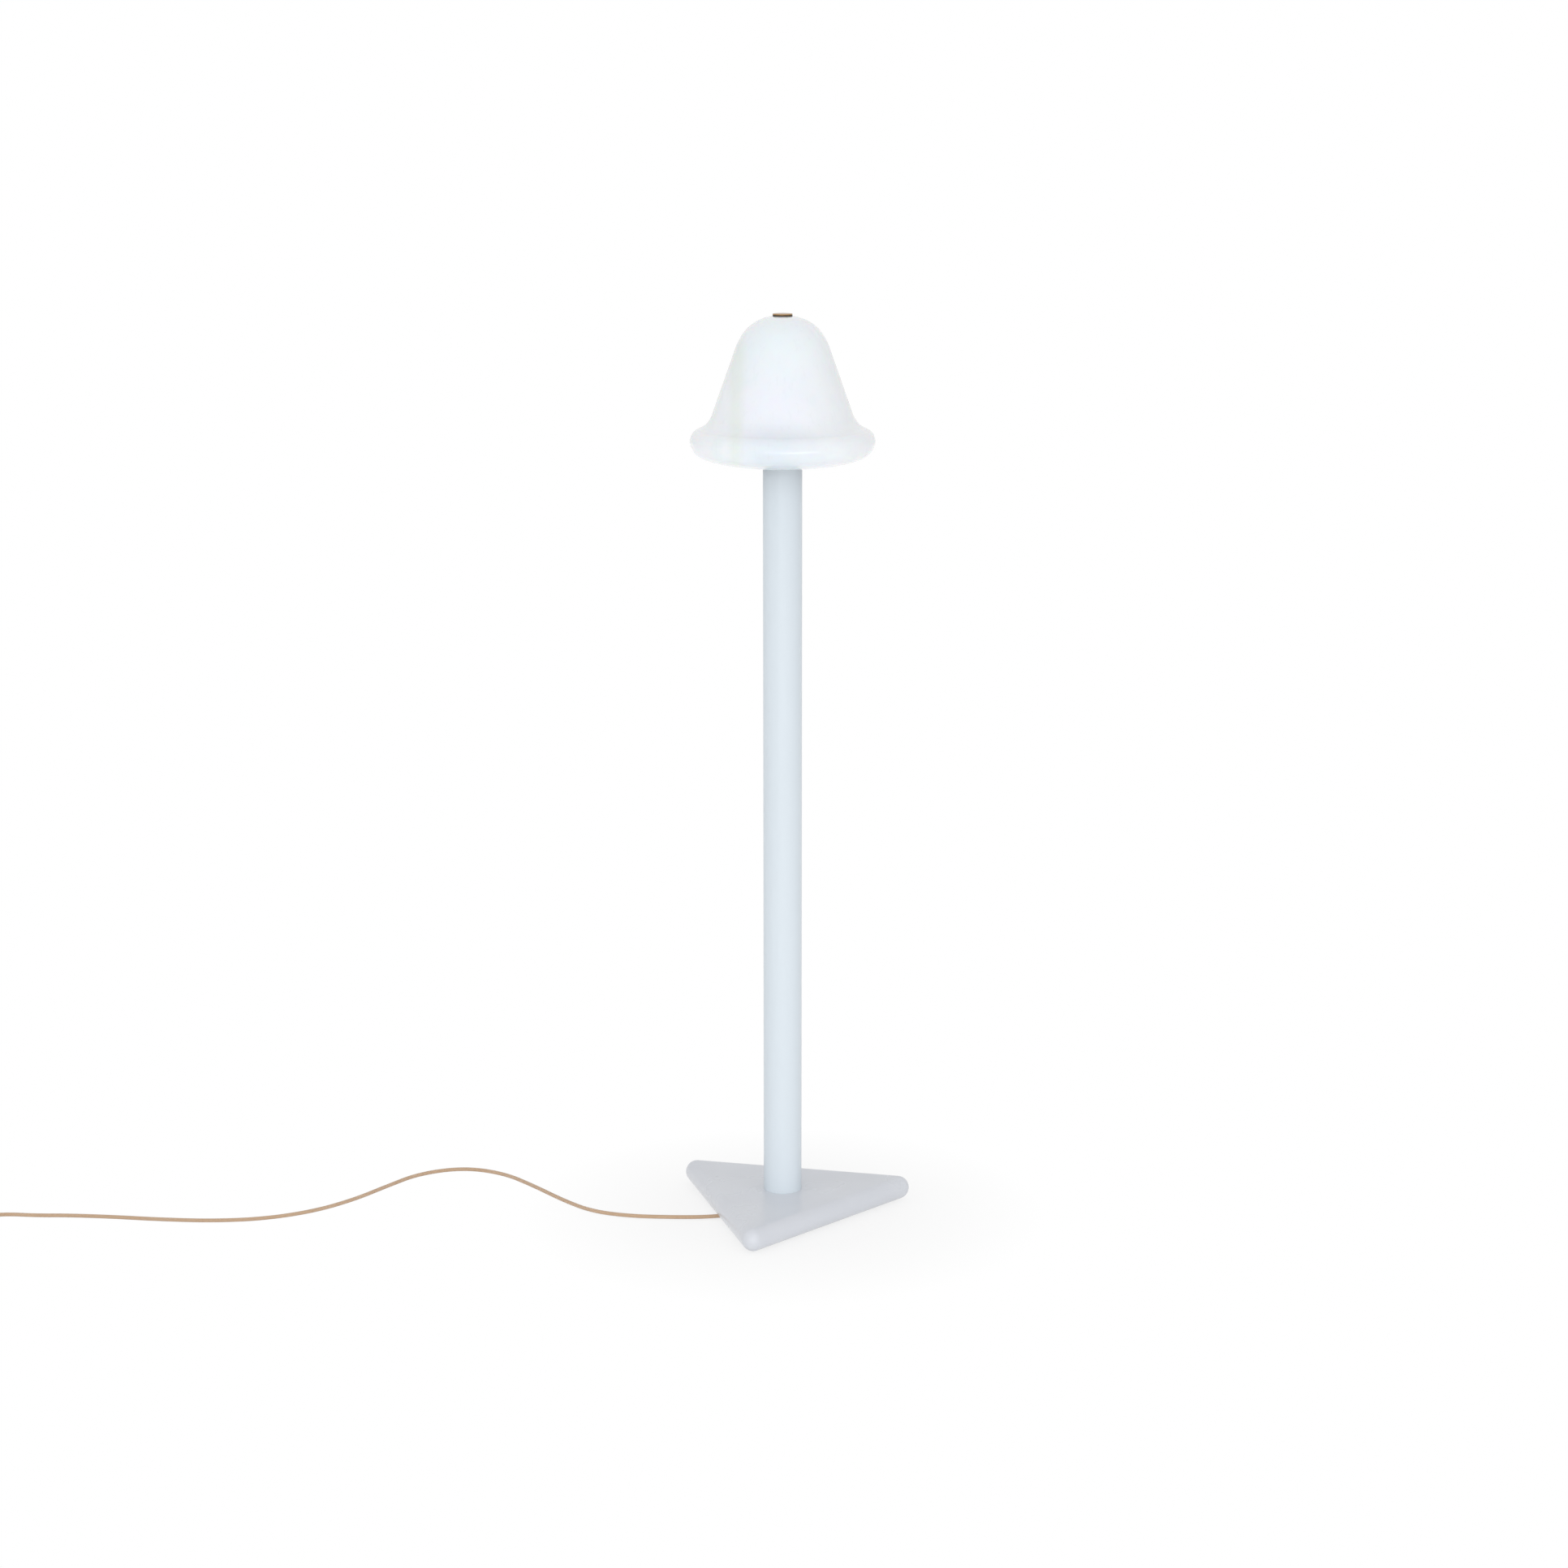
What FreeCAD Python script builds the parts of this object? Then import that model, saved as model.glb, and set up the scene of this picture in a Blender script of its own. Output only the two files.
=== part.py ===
import FreeCAD, Part
import math
import os
import re
import Sketcher

# Mushroom floor lamp: a heavy triangular foot with full-round edges, a straight
# lacquered column clamped to it by a hollow tie rod, a two-lamp cluster on top of
# the column, and an opal glass shade that hangs from its crown on a second rod
# under a small brass cap nut. A textile cord with a foot switch leaves the foot.
# Millimetres, +Z up, origin on the floor under the middle of the column.

SIZES = {
    # triangular foot
    "felt_thickness": 1.5,
    "felt_inradius": 86.0,
    "felt_corner": 14.0,
    "base_side": 334.0,
    "base_thickness": 36.5,
    "cover_inradius": 78.0,
    "cover_corner": 8.0,
    "cover_thickness": 2.0,
    "cover_play": 0.4,
    "pocket_inradius": 72.0,
    "pocket_corner": 30.0,
    "wiring_height": 10.5,
    "ballast_thickness": 17.0,
    "ballast_play": 0.5,
    "ballast_hole_radius": 17.0,
    "cover_screw_circle": 132.0,
    "ballast_screw_circle": 90.0,
    # cord outlet under the left edge of the foot
    "outlet_x": -89.6,
    "outlet_y": -63.0,
    "outlet_angle": 197.0,
    "outlet_width": 9.0,
    "outlet_height": 9.5,
    "outlet_depth": 40.0,
    "bush_length": 24.0,
    "clamp_length": 28.0,
    "clamp_width": 10.0,
    "clamp_height": 8.0,
    "clamp_distance": 56.0,
    "clamp_straight_before": 8.0,
    "clamp_straight_after": 10.0,
    "clamp_corner": 2.0,
    "cord_lead_in": 14.0,
    "inside_bend": 10.0,
    "cord_run_height": 10.2,
    "cord_radius": 3.0,
    "cord_play": 0.1,
    # screws
    "screw_radius": 2.0,
    "screw_head_radius": 3.8,
    "screw_head_height": 1.8,
    "screw_play": 0.1,
    "cover_screw_length": 12.0,
    "ballast_screw_length": 21.0,
    "clamp_screw_length": 14.0,
    "foot_screw_length": 26.0,
    "foot_screw_circle": 22.0,
    "clamp_screw_circle": 9.5,
    # column and tie rod
    "column_radius": 30.0,
    "column_wall": 1.5,
    "column_length": 1174.0,
    "foot_height": 12.0,
    "spigot_play": 0.2,
    "edge_break": 1.0,
    "rod_radius": 5.0,
    "rod_bore_radius": 3.8,
    "rod_play": 0.3,
    "thread_play": 0.05,
    "rod_tail": 4.0,
    "plate_thickness": 4.0,
    "plate_spigot": 12.0,
    "washer_radius": 14.0,
    "washer_thickness": 2.0,
    "nut_corner_radius": 9.8,
    "nut_height": 5.0,
    # lamp cluster
    "hub_radius": 17.0,
    "hub_height": 26.0,
    "hub_wall": 3.0,
    "hub_floor": 5.0,
    "hub_grip": 3.0,
    "lid_thickness": 3.0,
    "lid_boss_radius": 8.0,
    "lid_boss_height": 6.0,
    "connector_length": 14.0,
    "connector_width": 7.0,
    "connector_height": 9.0,
    "connector_corner": 1.0,
    "arm_height": 15.0,
    "arm_reach": 38.0,
    "arm_bend": 12.0,
    "arm_radius": 5.0,
    "arm_bore_radius": 3.6,
    "arm_riser": 8.0,
    "lead_radius": 1.6,
    "holder_radius": 13.5,
    "holder_height": 48.0,
    "holder_neck_radius": 8.0,
    "holder_neck_height": 7.0,
    "holder_lip": 1.5,
    "socket_depth": 24.0,
    "socket_play": 0.06,
    "wire_hole_radius": 2.2,
    "bulb_thread_radius": 6.95,
    "bulb_thread_length": 22.0,
    "bulb_contact_radius": 3.0,
    "bulb_contact_height": 1.5,
    "bulb_skirt_radius": 6.15,
    "bulb_skirt_height": 4.5,
    "bulb_thread_start": 5.5,
    "bulb_neck_radius": 10.5,
    "bulb_flare_radius": 12.0,
    "bulb_radius": 22.5,
    "bulb_wall": 0.9,
    # shade suspension
    "shade_rod_length": 173.5,
    "rod_bevel": 0.5,
    "rod_stand": 1.5,
    "seat_radius": 20.0,
    "seat_rim": 1.5,
    "seat_height": 6.0,
    "seat_drop": 10.0,
    "shade_gap": 0.3,
    # opal glass shade, measured down from its crown
    "glass_wall": 3.5,
    "crown_radius": 122.0,
    "crown_edge": 18.3,
    "shoulder_radius": 63.0,
    "shoulder_edge": 61.2,
    "hip_radius": 97.0,
    "cone_angle": 19.57,
    "cone_edge": 107.3,
    "neck_radius": 37.0,
    "rim_radius": 140.9,
    "rim_top_radius": 18.8,
    "rim_side_radius": 26.8,
    "rim_side_edge": 125.6,
    "rim_under_radius": 103.6,
    "lip_round": 1.2,
    "shade_hole_radius": 8.8,
    # brass cap nut
    "cap_radius": 15.0,
    "cap_thickness": 1.8,
    "cap_crown": 0.3,
    "cap_edge": 0.7,
    "cap_hub_radius": 8.4,
    "cap_hub_length": 7.5,
    "cap_bore_play": 0.08,
    "cap_washer_thickness": 0.9,
    # foot switch on the cord
    "switch_length": 72.0,
    "switch_width": 38.0,
    "switch_height": 20.0,
    "switch_split": 8.0,
    "switch_corner": 12.0,
    "switch_wall": 2.0,
    "switch_round": 4.0,
    "switch_foot_round": 1.5,
    "button_radius": 13.0,
    "button_play": 0.4,
    "button_rise": 4.0,
    "button_travel": 3.0,
    "button_flange": 1.5,
    "button_bevel": 1.5,
    "core_length": 30.0,
    "core_width": 24.0,
    "core_stroke_gap": 0.5,
    "core_corner": 2.0,
    "switch_screw_circle": 27.0,
    "switch_screw_angle": 25.0,
    "switch_screw_length": 12.0,
    "switch_boss_radius": 3.6,
    # plug
    "plug_length": 36.0,
    "plug_width": 35.0,
    "plug_waist": 16.0,
    "plug_thickness": 14.0,
    "plug_round": 3.0,
    "plug_sleeve_length": 16.0,
    "plug_sleeve_radius": 5.0,
    "pin_radius": 2.0,
    "pin_length": 19.0,
    "pin_spacing": 18.6,
    "pin_depth": 8.0,
    # where the pieces on the cord lie
    "switch_x": -1239.1,
    "switch_y": -355.6,
    "switch_angle": 207.64,
    "coil_x": -1323.1,
    "coil_y": -311.6,
    "coil_radius": 34.0,
    "coil_section": 12.0,
    "plug_x": -1366.7,
    "plug_y": -301.6,
    "plug_angle": 117.64,
}

LEVELS = {
    "edge_radius": "base_thickness / 2",
    "base_inradius": "base_side / (2 * sqrt(3))",
    "base_top": "felt_thickness + base_thickness",
    "cover_top": "felt_thickness + cover_thickness",
    "ballast_bottom": "cover_top + wiring_height",
    "ballast_top": "ballast_bottom + ballast_thickness",
    "clamp_x": "outlet_x - clamp_distance * cos(outlet_angle)",
    "clamp_y": "outlet_y - clamp_distance * sin(outlet_angle)",
    "clamp_bottom": "ballast_bottom - clamp_height",
    "lower_nut_bottom": "ballast_top - washer_thickness - nut_height",
    "rod_bottom": "lower_nut_bottom - rod_tail",
    "column_top": "base_top + column_length",
    "plate_top": "column_top + plate_thickness",
    "top_nut_bottom": "plate_top + washer_thickness",
    "hub_bottom": "top_nut_bottom + nut_height",
    "rod_top": "hub_bottom + hub_floor + hub_grip",
    "hub_top": "hub_bottom + hub_height",
    "lid_top": "hub_top + lid_thickness",
    "arm_level": "hub_bottom + arm_height",
    "arm_top": "arm_level + arm_bend + arm_riser",
    "holder_bottom": "arm_top - holder_neck_height",
    "holder_top": "holder_bottom + holder_height",
    "shade_rod_bottom": "lid_top - lid_boss_height",
    "shade_rod_top": "shade_rod_bottom + shade_rod_length",
    "shade_apex": "shade_rod_top - rod_stand",
    "seat_top": "shade_apex - seat_drop",
    "seat_bottom": "seat_top - seat_height",
    "cap_bottom": "shade_apex + cap_washer_thickness",
    "crown_centre": "shade_apex - crown_radius",
    "button_bottom": "switch_height - switch_wall - button_play - button_flange",
    "core_height": "button_bottom - button_travel - core_stroke_gap - switch_wall",
}

doc = FreeCAD.newDocument("mushroom_floor_lamp")
sheet = doc.addObject("Spreadsheet::Sheet", "size")
for row, (alias, value) in enumerate(SIZES.items(), start=1):
    sheet.set("A%d" % row, alias.replace("_", " "))
    sheet.set("B%d" % row, str(value))
    sheet.setAlias("B%d" % row, alias)
for row, (alias, formula) in enumerate(LEVELS.items(), start=1):
    sheet.set("D%d" % row, alias.replace("_", " "))
    sheet.set("E%d" % row, "=" + formula)
    sheet.setAlias("E%d" % row, alias)
doc.recompute()


def read(alias):
    """The number that a named cell holds."""
    return float(sheet.get(alias))


def link(formula):
    """The formula with each named size pointing at its cell in the sheet."""
    def cell(word):
        known = word[0] in SIZES or word[0] in LEVELS
        return "size." + word[0] if known else word[0]
    return re.sub(r"[a-z_]+", cell, str(formula))


def bind(thing, path, formula):
    thing.setExpression(path, link(formula))


def place(thing, x="0", y="0", z="0", turn=None):
    """Binds a piece's place, and its turn about Z, to the sheet."""
    bind(thing, ".Placement.Base.x", x)
    bind(thing, ".Placement.Base.y", y)
    bind(thing, ".Placement.Base.z", z)
    if turn is not None:
        thing.Placement = FreeCAD.Placement(FreeCAD.Vector(), FreeCAD.Rotation(FreeCAD.Vector(0, 0, 1), 1))
        bind(thing, ".Placement.Rotation.Angle", turn)
    return thing


def new_body(label, x="0", y="0", z="0", turn=None):
    body = doc.addObject("PartDesign::Body", label)
    body.Label = label
    return place(body, x, y, z, turn)


def new_sketch(body, role, rise="0", across="0", up="0", spin=None, swing=0.0):
    """An empty sketch on one of the body's own planes, moved in and off it by formulas.

    spin is a formula that turns it in its plane; swing turns an upright one about Z."""
    sketch = body.newObject("Sketcher::SketchObject", body.Name + "_sketch")
    plane = next(o for o in body.Origin.OriginFeatures if o.Role == role)
    sketch.AttachmentSupport = [(plane, "")]
    sketch.MapMode = "FlatFace"
    axis = FreeCAD.Vector(0, 0, 1) if swing == 0.0 else FreeCAD.Vector(0, 1, 0)
    turn = 1.0 if spin is not None else swing
    sketch.AttachmentOffset = FreeCAD.Placement(FreeCAD.Vector(), FreeCAD.Rotation(axis, turn))
    bind(sketch, ".AttachmentOffset.Base.x", across)
    bind(sketch, ".AttachmentOffset.Base.y", up)
    bind(sketch, ".AttachmentOffset.Base.z", rise)
    if spin is not None:
        bind(sketch, ".AttachmentOffset.Rotation.Angle", spin)
    return sketch


def worth(formula):
    """The present value of a formula, worked out in a spare cell of the sheet."""
    sheet.set("G1", "=" + str(formula))
    sheet.recompute()
    return float(sheet.get("G1"))


def fix(sketch, kind, formula, *ends):
    """Adds a dimension and binds it to the sheet."""
    value = worth(formula)
    if kind == "Angle":
        value = math.radians(value)
    index = sketch.addConstraint(Sketcher.Constraint(kind, *ends, value))
    bind(sketch, "Constraints[%d]" % index, formula)


def draw_polygon(sketch, points):
    """A closed outline whose corners are pairs of formulas."""
    spots = [FreeCAD.Vector(worth(across), worth(up), 0) for across, up in points]
    for i, spot in enumerate(spots):
        sketch.addGeometry(Part.LineSegment(spot, spots[(i + 1) % len(spots)]))
    for i, (across, up) in enumerate(points):
        sketch.addConstraint(Sketcher.Constraint("Coincident", i - 1 if i else len(points) - 1, 2, i, 1))
        fix(sketch, "DistanceX", across, i, 1)
        fix(sketch, "DistanceY", up, i, 1)


def draw_circle(sketch, radius, x="0", y="0"):
    centre = FreeCAD.Vector(worth(x), worth(y), 0)
    index = sketch.addGeometry(Part.Circle(centre, FreeCAD.Vector(0, 0, 1), worth(radius)))
    fix(sketch, "Radius", radius, index)
    fix(sketch, "DistanceX", x, index, 3)
    fix(sketch, "DistanceY", y, index, 3)


def draw_rounded(sketch, corner, middles):
    """A closed outline of equal arcs about the middles, anticlockwise, joined by tangent sides."""
    radius, count = worth(corner), len(middles)
    spots = [FreeCAD.Vector(worth(x), worth(y), 0) for x, y in middles]
    arcs = []
    for i, spot in enumerate(spots):
        before, after = spot - spots[i - 1], spots[(i + 1) % count] - spot
        start = math.atan2(before.y, before.x) - math.pi / 2
        finish = math.atan2(after.y, after.x) - math.pi / 2
        if finish < start:
            finish += 2 * math.pi
        circle = Part.Circle(spot, FreeCAD.Vector(0, 0, 1), radius)
        arcs.append(sketch.addGeometry(Part.ArcOfCircle(circle, start, finish)))
    for arc, following in zip(arcs, arcs[1:] + arcs[:1]):
        ends = sketch.Geometry[arc].EndPoint, sketch.Geometry[following].StartPoint
        side = sketch.addGeometry(Part.LineSegment(*ends))
        sketch.addConstraint(Sketcher.Constraint("Tangent", arc, 2, side, 1))
        sketch.addConstraint(Sketcher.Constraint("Tangent", side, 2, following, 1))
    for arc, (x, y) in zip(arcs, middles):
        fix(sketch, "Radius", corner, arc)
        fix(sketch, "DistanceX", x, arc, 3)
        fix(sketch, "DistanceY", y, arc, 3)


def draw_rounded_triangle(sketch, inradius, corner):
    """An equilateral triangle with one corner towards -Y and rounded corners."""
    step = "(%s - (%s))" % (inradius, corner)
    draw_rounded(sketch, corner, [
        ("0", "-2 * " + step), ("sqrt(3) * " + step, step), ("-sqrt(3) * " + step, step)])


def draw_rounded_rectangle(sketch, length, width, corner):
    """A rectangle about the origin with rounded corners."""
    across, up = ("((%s) / 2 - (%s))" % (size, corner) for size in (length, width))
    draw_rounded(sketch, corner, [
        (across, up), ("-1 * " + across, up), ("-1 * " + across, "-1 * " + up), (across, "-1 * " + up)])


def pad(body, sketch, length, both_ways=False):
    feature = body.newObject("PartDesign::Pad", body.Name + "_pad")
    feature.Profile = sketch
    bind(feature, "Length", length)
    if both_ways:
        feature.Midplane = True
    return feature


def pocket(body, sketch, depth, upwards=True):
    """Cuts the sketch's outline; upwards means along the sketch's own normal."""
    feature = body.newObject("PartDesign::Pocket", body.Name + "_pocket")
    feature.Profile = sketch
    bind(feature, "Length", depth)
    feature.Reversed = upwards
    return feature


def revolve(body, sketch, axis="V_Axis", angle=360.0):
    feature = body.newObject("PartDesign::Revolution", body.Name + "_turn")
    feature.Profile = sketch
    feature.ReferenceAxis = (sketch, [axis])
    feature.Angle = angle
    return feature


def pattern_about_z(body, features, count):
    """Repeats the features round the body's own Z axis."""
    ring = body.newObject("PartDesign::PolarPattern", body.Name + "_ring")
    ring.Originals = features
    axis = next(o for o in body.Origin.OriginFeatures if o.Role == "Z_Axis")
    ring.Axis = (axis, [""])
    ring.Angle = 360.0
    ring.Occurrences = count
    body.Tip = ring
    return ring


def turned(label, profile, x="0", y="0", z="0"):
    """A turned piece: radius and height formulas, revolved about its own Z axis."""
    body = new_body(label, x, y, z)
    sketch = new_sketch(body, "XZ_Plane")
    draw_polygon(sketch, profile)
    revolve(body, sketch)
    return body


def bored_holes(body, level, radius, depth, circle, swing, count=3, upwards=True):
    """A ring of round holes from a level of the body, the first at the angle swing."""
    across = "(%s) * cos(%s)" % (circle, swing)
    up = "(%s) * sin(%s)" % (circle, swing)
    sketch = new_sketch(body, "XY_Plane", rise=level)
    draw_circle(sketch, radius, across, up)
    cut = pocket(body, sketch, depth, upwards)
    return pattern_about_z(body, [cut], count)


def draw_screw(sketch, circle, level, length, play, upwards):
    """Half a countersunk screw beside a construction line that is its axis."""
    way = "1" if upwards else "-1"
    tip = "%s + %s * (%s)" % (level, way, length)
    draw_polygon(sketch, [
        (circle, level),
        (circle + " + screw_head_radius + " + play, level),
        (circle + " + screw_radius + " + play, "%s + %s * screw_head_height" % (level, way)),
        (circle + " + screw_radius + " + play, tip),
        (circle, tip),
    ])
    ends = [FreeCAD.Vector(worth(circle), worth(height), 0) for height in (level, tip)]
    spine = sketch.addGeometry(Part.LineSegment(*ends), True)
    for end, height in ((1, level), (2, tip)):
        fix(sketch, "DistanceX", circle, spine, end)
        fix(sketch, "DistanceY", height, spine, end)


def screw_ring(label, circle, swing, level, length, count=3, upwards=True, **where):
    """Countersunk screws on a circle, as separate solids; level is the heads' face."""
    body = new_body(label, **where)
    sketch = new_sketch(body, "XZ_Plane", swing=worth(swing))
    draw_screw(sketch, circle, level, length, "0", upwards)
    pattern_about_z(body, [revolve(body, sketch, "Axis0")], count)
    return body


def countersunk_holes(body, circle, swing, level, depth, count=3, upwards=True):
    """Holes for such a ring of screws."""
    sketch = new_sketch(body, "XZ_Plane", swing=worth(swing))
    draw_screw(sketch, circle, level, depth, "screw_play", upwards)
    groove = body.newObject("PartDesign::Groove", body.Name + "_sink")
    groove.Profile = sketch
    groove.ReferenceAxis = (sketch, ["Axis0"])
    groove.Angle = 360.0
    return pattern_about_z(body, [groove], count)


# how far from a level or a radius an edge may lie and still count as on it
NEARLY = 0.01


def is_level(edge):
    return edge.BoundBox.ZLength < NEARLY


def round_edges(body, radius, wanted):
    """Rounds the edges of the body's last feature that the test wants."""
    doc.recompute()
    tip = body.Tip
    names = ["Edge%d" % i for i, edge in enumerate(tip.Shape.Edges, start=1) if wanted(edge)]
    fillet = body.newObject("PartDesign::Fillet", body.Name + "_round")
    fillet.Base = (tip, names)
    bind(fillet, "Radius", radius)
    return fillet


def solid(kind, name, **sizes):
    """A Part primitive with its sizes bound to the sheet."""
    thing = doc.addObject("Part::" + kind, name)
    for size, formula in sizes.items():
        bind(thing, size, formula)
    return thing


def boolean(kind, label, base, tool):
    """A Part::Cut or Part::Common of two pieces."""
    result = doc.addObject("Part::" + kind, label)
    result.Base = base
    result.Tool = tool
    result.Label = label
    return result


def hexagon_nut(label, level):
    """A nut for the hollow rods, with its lower face at a level."""
    blank = solid("Prism", label + "_blank", Circumradius="nut_corner_radius", Height="nut_height")
    bore = solid("Cylinder", label + "_bore", Radius="rod_radius + thread_play", Height="nut_height")
    return boolean("Cut", label, place(blank, z=level), place(bore, z=level))


def washer(label, level):
    return turned(label, [
        ("rod_radius + rod_play", "0"),
        ("washer_radius", "0"),
        ("washer_radius", "washer_thickness"),
        ("rod_radius + rod_play", "washer_thickness"),
    ], z=level)


# share of the shorter run that each arc of a cord takes up
ARC_SHARE = 0.45
VOLUME_TOLERANCE = 0.01


def bent_path(points, bend=None):
    """Straight runs between the points, joined by tangent arcs.

    Each arc is as large as its two runs allow, or has the bend radius given."""
    corners = [FreeCAD.Vector(*p) for p in points]
    edges, start, radii = [], corners[0], []
    for before, corner, after in zip(corners, corners[1:], corners[2:]):
        inward = (before - corner).normalize()
        outward = (after - corner).normalize()
        turn = math.pi - inward.getAngle(outward)
        shorter = min((before - corner).Length, (after - corner).Length)
        radius = bend if bend else ARC_SHARE * shorter / math.tan(turn / 2)
        setback = radius * math.tan(turn / 2)
        first, last = corner + inward * setback, corner + outward * setback
        middle = corner + (inward + outward).normalize() * (radius / math.cos(turn / 2) - radius)
        edges.append(Part.LineSegment(start, first).toShape())
        edges.append(Part.Arc(first, middle, last).toShape())
        start = last
        radii.append(radius)
    edges.append(Part.LineSegment(start, corners[-1]).toShape())
    return Part.Wire(edges), radii


def swept_tube(label, points, radius, bore=0.0, bend=None):
    """A round tube or cord along a bent path."""
    path, radii = bent_path(points, bend)
    start = FreeCAD.Vector(*points[0])
    heading = FreeCAD.Vector(*points[1]) - start

    def along(size):
        ring = Part.Wire(Part.makeCircle(size, start, heading))
        return path.makePipeShell([ring], True, False)

    shape = along(radius).cut(along(bore)) if bore else along(radius)
    expected = math.pi * (radius ** 2 - bore ** 2) * path.Length
    if abs(shape.Volume - expected) > VOLUME_TOLERANCE * expected:
        raise RuntimeError("%s: volume %.0f, expected %.0f" % (label, shape.Volume, expected))
    piece = doc.addObject("Part::Feature", label)
    piece.Label = label
    piece.Shape = shape
    piece.Placement = FreeCAD.Placement()
    if radii and bend is None:
        print("%s: length %.1f, radii %s" % (label, path.Length, [round(r) for r in radii]))
    return piece


# ---------------------------------------------------------------- triangular foot

def draw_half_disc(sketch):
    """The full-round edge of the foot: half a disc standing off the flat side."""
    reach, radius = read("base_inradius"), read("edge_radius")
    circle = Part.Circle(FreeCAD.Vector(reach, radius, 0), FreeCAD.Vector(0, 0, 1), radius)
    arc = sketch.addGeometry(Part.ArcOfCircle(circle, -math.pi / 2, math.pi / 2))
    ends = sketch.Geometry[arc].EndPoint, sketch.Geometry[arc].StartPoint
    flat = sketch.addGeometry(Part.LineSegment(*ends))
    sketch.addConstraint(Sketcher.Constraint("Coincident", arc, 2, flat, 1))
    sketch.addConstraint(Sketcher.Constraint("Coincident", flat, 2, arc, 1))
    fix(sketch, "Radius", "edge_radius", arc)
    fix(sketch, "DistanceX", "base_inradius", arc, 3)
    fix(sketch, "DistanceY", "edge_radius", arc, 3)
    fix(sketch, "DistanceX", "base_inradius", arc, 1)
    fix(sketch, "DistanceX", "base_inradius", arc, 2)


def triangular_slab(label):
    """Flat triangle, half-round edges and ball corners, one corner towards -Y."""
    body = new_body(label, z="felt_thickness")
    triangle = new_sketch(body, "XY_Plane")
    draw_polygon(triangle, [
        ("0", "-2 * base_inradius"),
        ("base_side / 2", "base_inradius"),
        ("-base_side / 2", "base_inradius"),
    ])
    pad(body, triangle, "base_thickness")
    section = new_sketch(body, "YZ_Plane")
    draw_half_disc(section)
    edge = pad(body, section, "base_side", both_ways=True)
    end_section = new_sketch(body, "YZ_Plane", rise="base_side / 2")
    draw_half_disc(end_section)
    corner = revolve(body, end_section, "Edge2", 120.0)
    corner.Reversed = True
    pattern_about_z(body, [edge, corner], 3)
    return body


# angles about Z of the foot's front corner and of the middle of its back edge
FRONT, BACK = "-90", "90"

base = triangular_slab("base_body")

# rebate for the cover, and the pocket for ballast and wiring above it
rebate = new_sketch(base, "XY_Plane")
draw_rounded_triangle(rebate, "cover_inradius + cover_play", "cover_corner")
pocket(base, rebate, "cover_thickness")
hollow = new_sketch(base, "XY_Plane", rise="cover_thickness")
draw_rounded_triangle(hollow, "pocket_inradius", "pocket_corner")
pocket(base, hollow, "wiring_height + ballast_thickness")

# slot that lets the cord out under the left edge
slot = new_sketch(base, "XY_Plane", across="outlet_x", up="outlet_y", spin="outlet_angle")
draw_polygon(slot, [
    ("-outlet_depth", "-outlet_width / 2"),
    ("outlet_depth", "-outlet_width / 2"),
    ("outlet_depth", "outlet_width / 2"),
    ("-outlet_depth", "outlet_width / 2"),
])
pocket(base, slot, "outlet_height")

# bore for the tie rod, and pilot holes for the screws
bore = new_sketch(base, "XY_Plane", rise="base_thickness")
draw_circle(bore, "rod_radius + rod_play")
pocket(base, bore, "base_thickness", upwards=False)
bored_holes(base, "base_thickness", "screw_radius + screw_play", "base_thickness",
            "foot_screw_circle", BACK, upwards=False)
bored_holes(base, "ballast_top - felt_thickness", "screw_radius + screw_play",
            "ballast_screw_length - ballast_thickness + screw_play", "ballast_screw_circle", FRONT)
bored_holes(base, "cover_thickness", "screw_radius + screw_play",
            "cover_screw_length - cover_thickness + screw_play", "cover_screw_circle", FRONT)

# steel ballast, screwed up against the roof of the pocket
ballast = new_body("ballast_plate", z="ballast_bottom")
outline = new_sketch(ballast, "XY_Plane")
draw_rounded_triangle(outline, "pocket_inradius - ballast_play", "pocket_corner - ballast_play")
pad(ballast, outline, "ballast_thickness")
middle = new_sketch(ballast, "XY_Plane")
draw_circle(middle, "ballast_hole_radius")
pocket(ballast, middle, "ballast_thickness")
countersunk_holes(ballast, "ballast_screw_circle", FRONT, "0", "ballast_thickness")
bored_holes(ballast, "ballast_thickness", "screw_radius + screw_play",
            "foot_screw_length - foot_height - (base_top - ballast_top) + screw_play",
            "foot_screw_circle", BACK, upwards=False)
clamp_pilots = new_sketch(ballast, "XY_Plane", across="clamp_x", up="clamp_y", spin="outlet_angle")
draw_circle(clamp_pilots, "screw_radius + screw_play", "0", "clamp_screw_circle")
draw_circle(clamp_pilots, "screw_radius + screw_play", "0", "-clamp_screw_circle")
pocket(ballast, clamp_pilots, "clamp_screw_length - clamp_height + screw_play")
screw_ring("ballast_screws", "ballast_screw_circle", FRONT, "0", "ballast_screw_length", z="ballast_bottom")

# sheet cover and felt
cover = new_body("base_cover", z="felt_thickness")
outline = new_sketch(cover, "XY_Plane")
draw_rounded_triangle(outline, "cover_inradius", "cover_corner")
pad(cover, outline, "cover_thickness")
countersunk_holes(cover, "cover_screw_circle", FRONT, "0", "cover_thickness")
screw_ring("cover_screws", "cover_screw_circle", FRONT, "0", "cover_screw_length", z="felt_thickness")
felt = new_body("felt_pad")
outline = new_sketch(felt, "XY_Plane")
draw_rounded_triangle(outline, "felt_inradius", "felt_corner")
pad(felt, outline, "felt_thickness")

# ---------------------------------------------------------------- cord outlet

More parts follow.
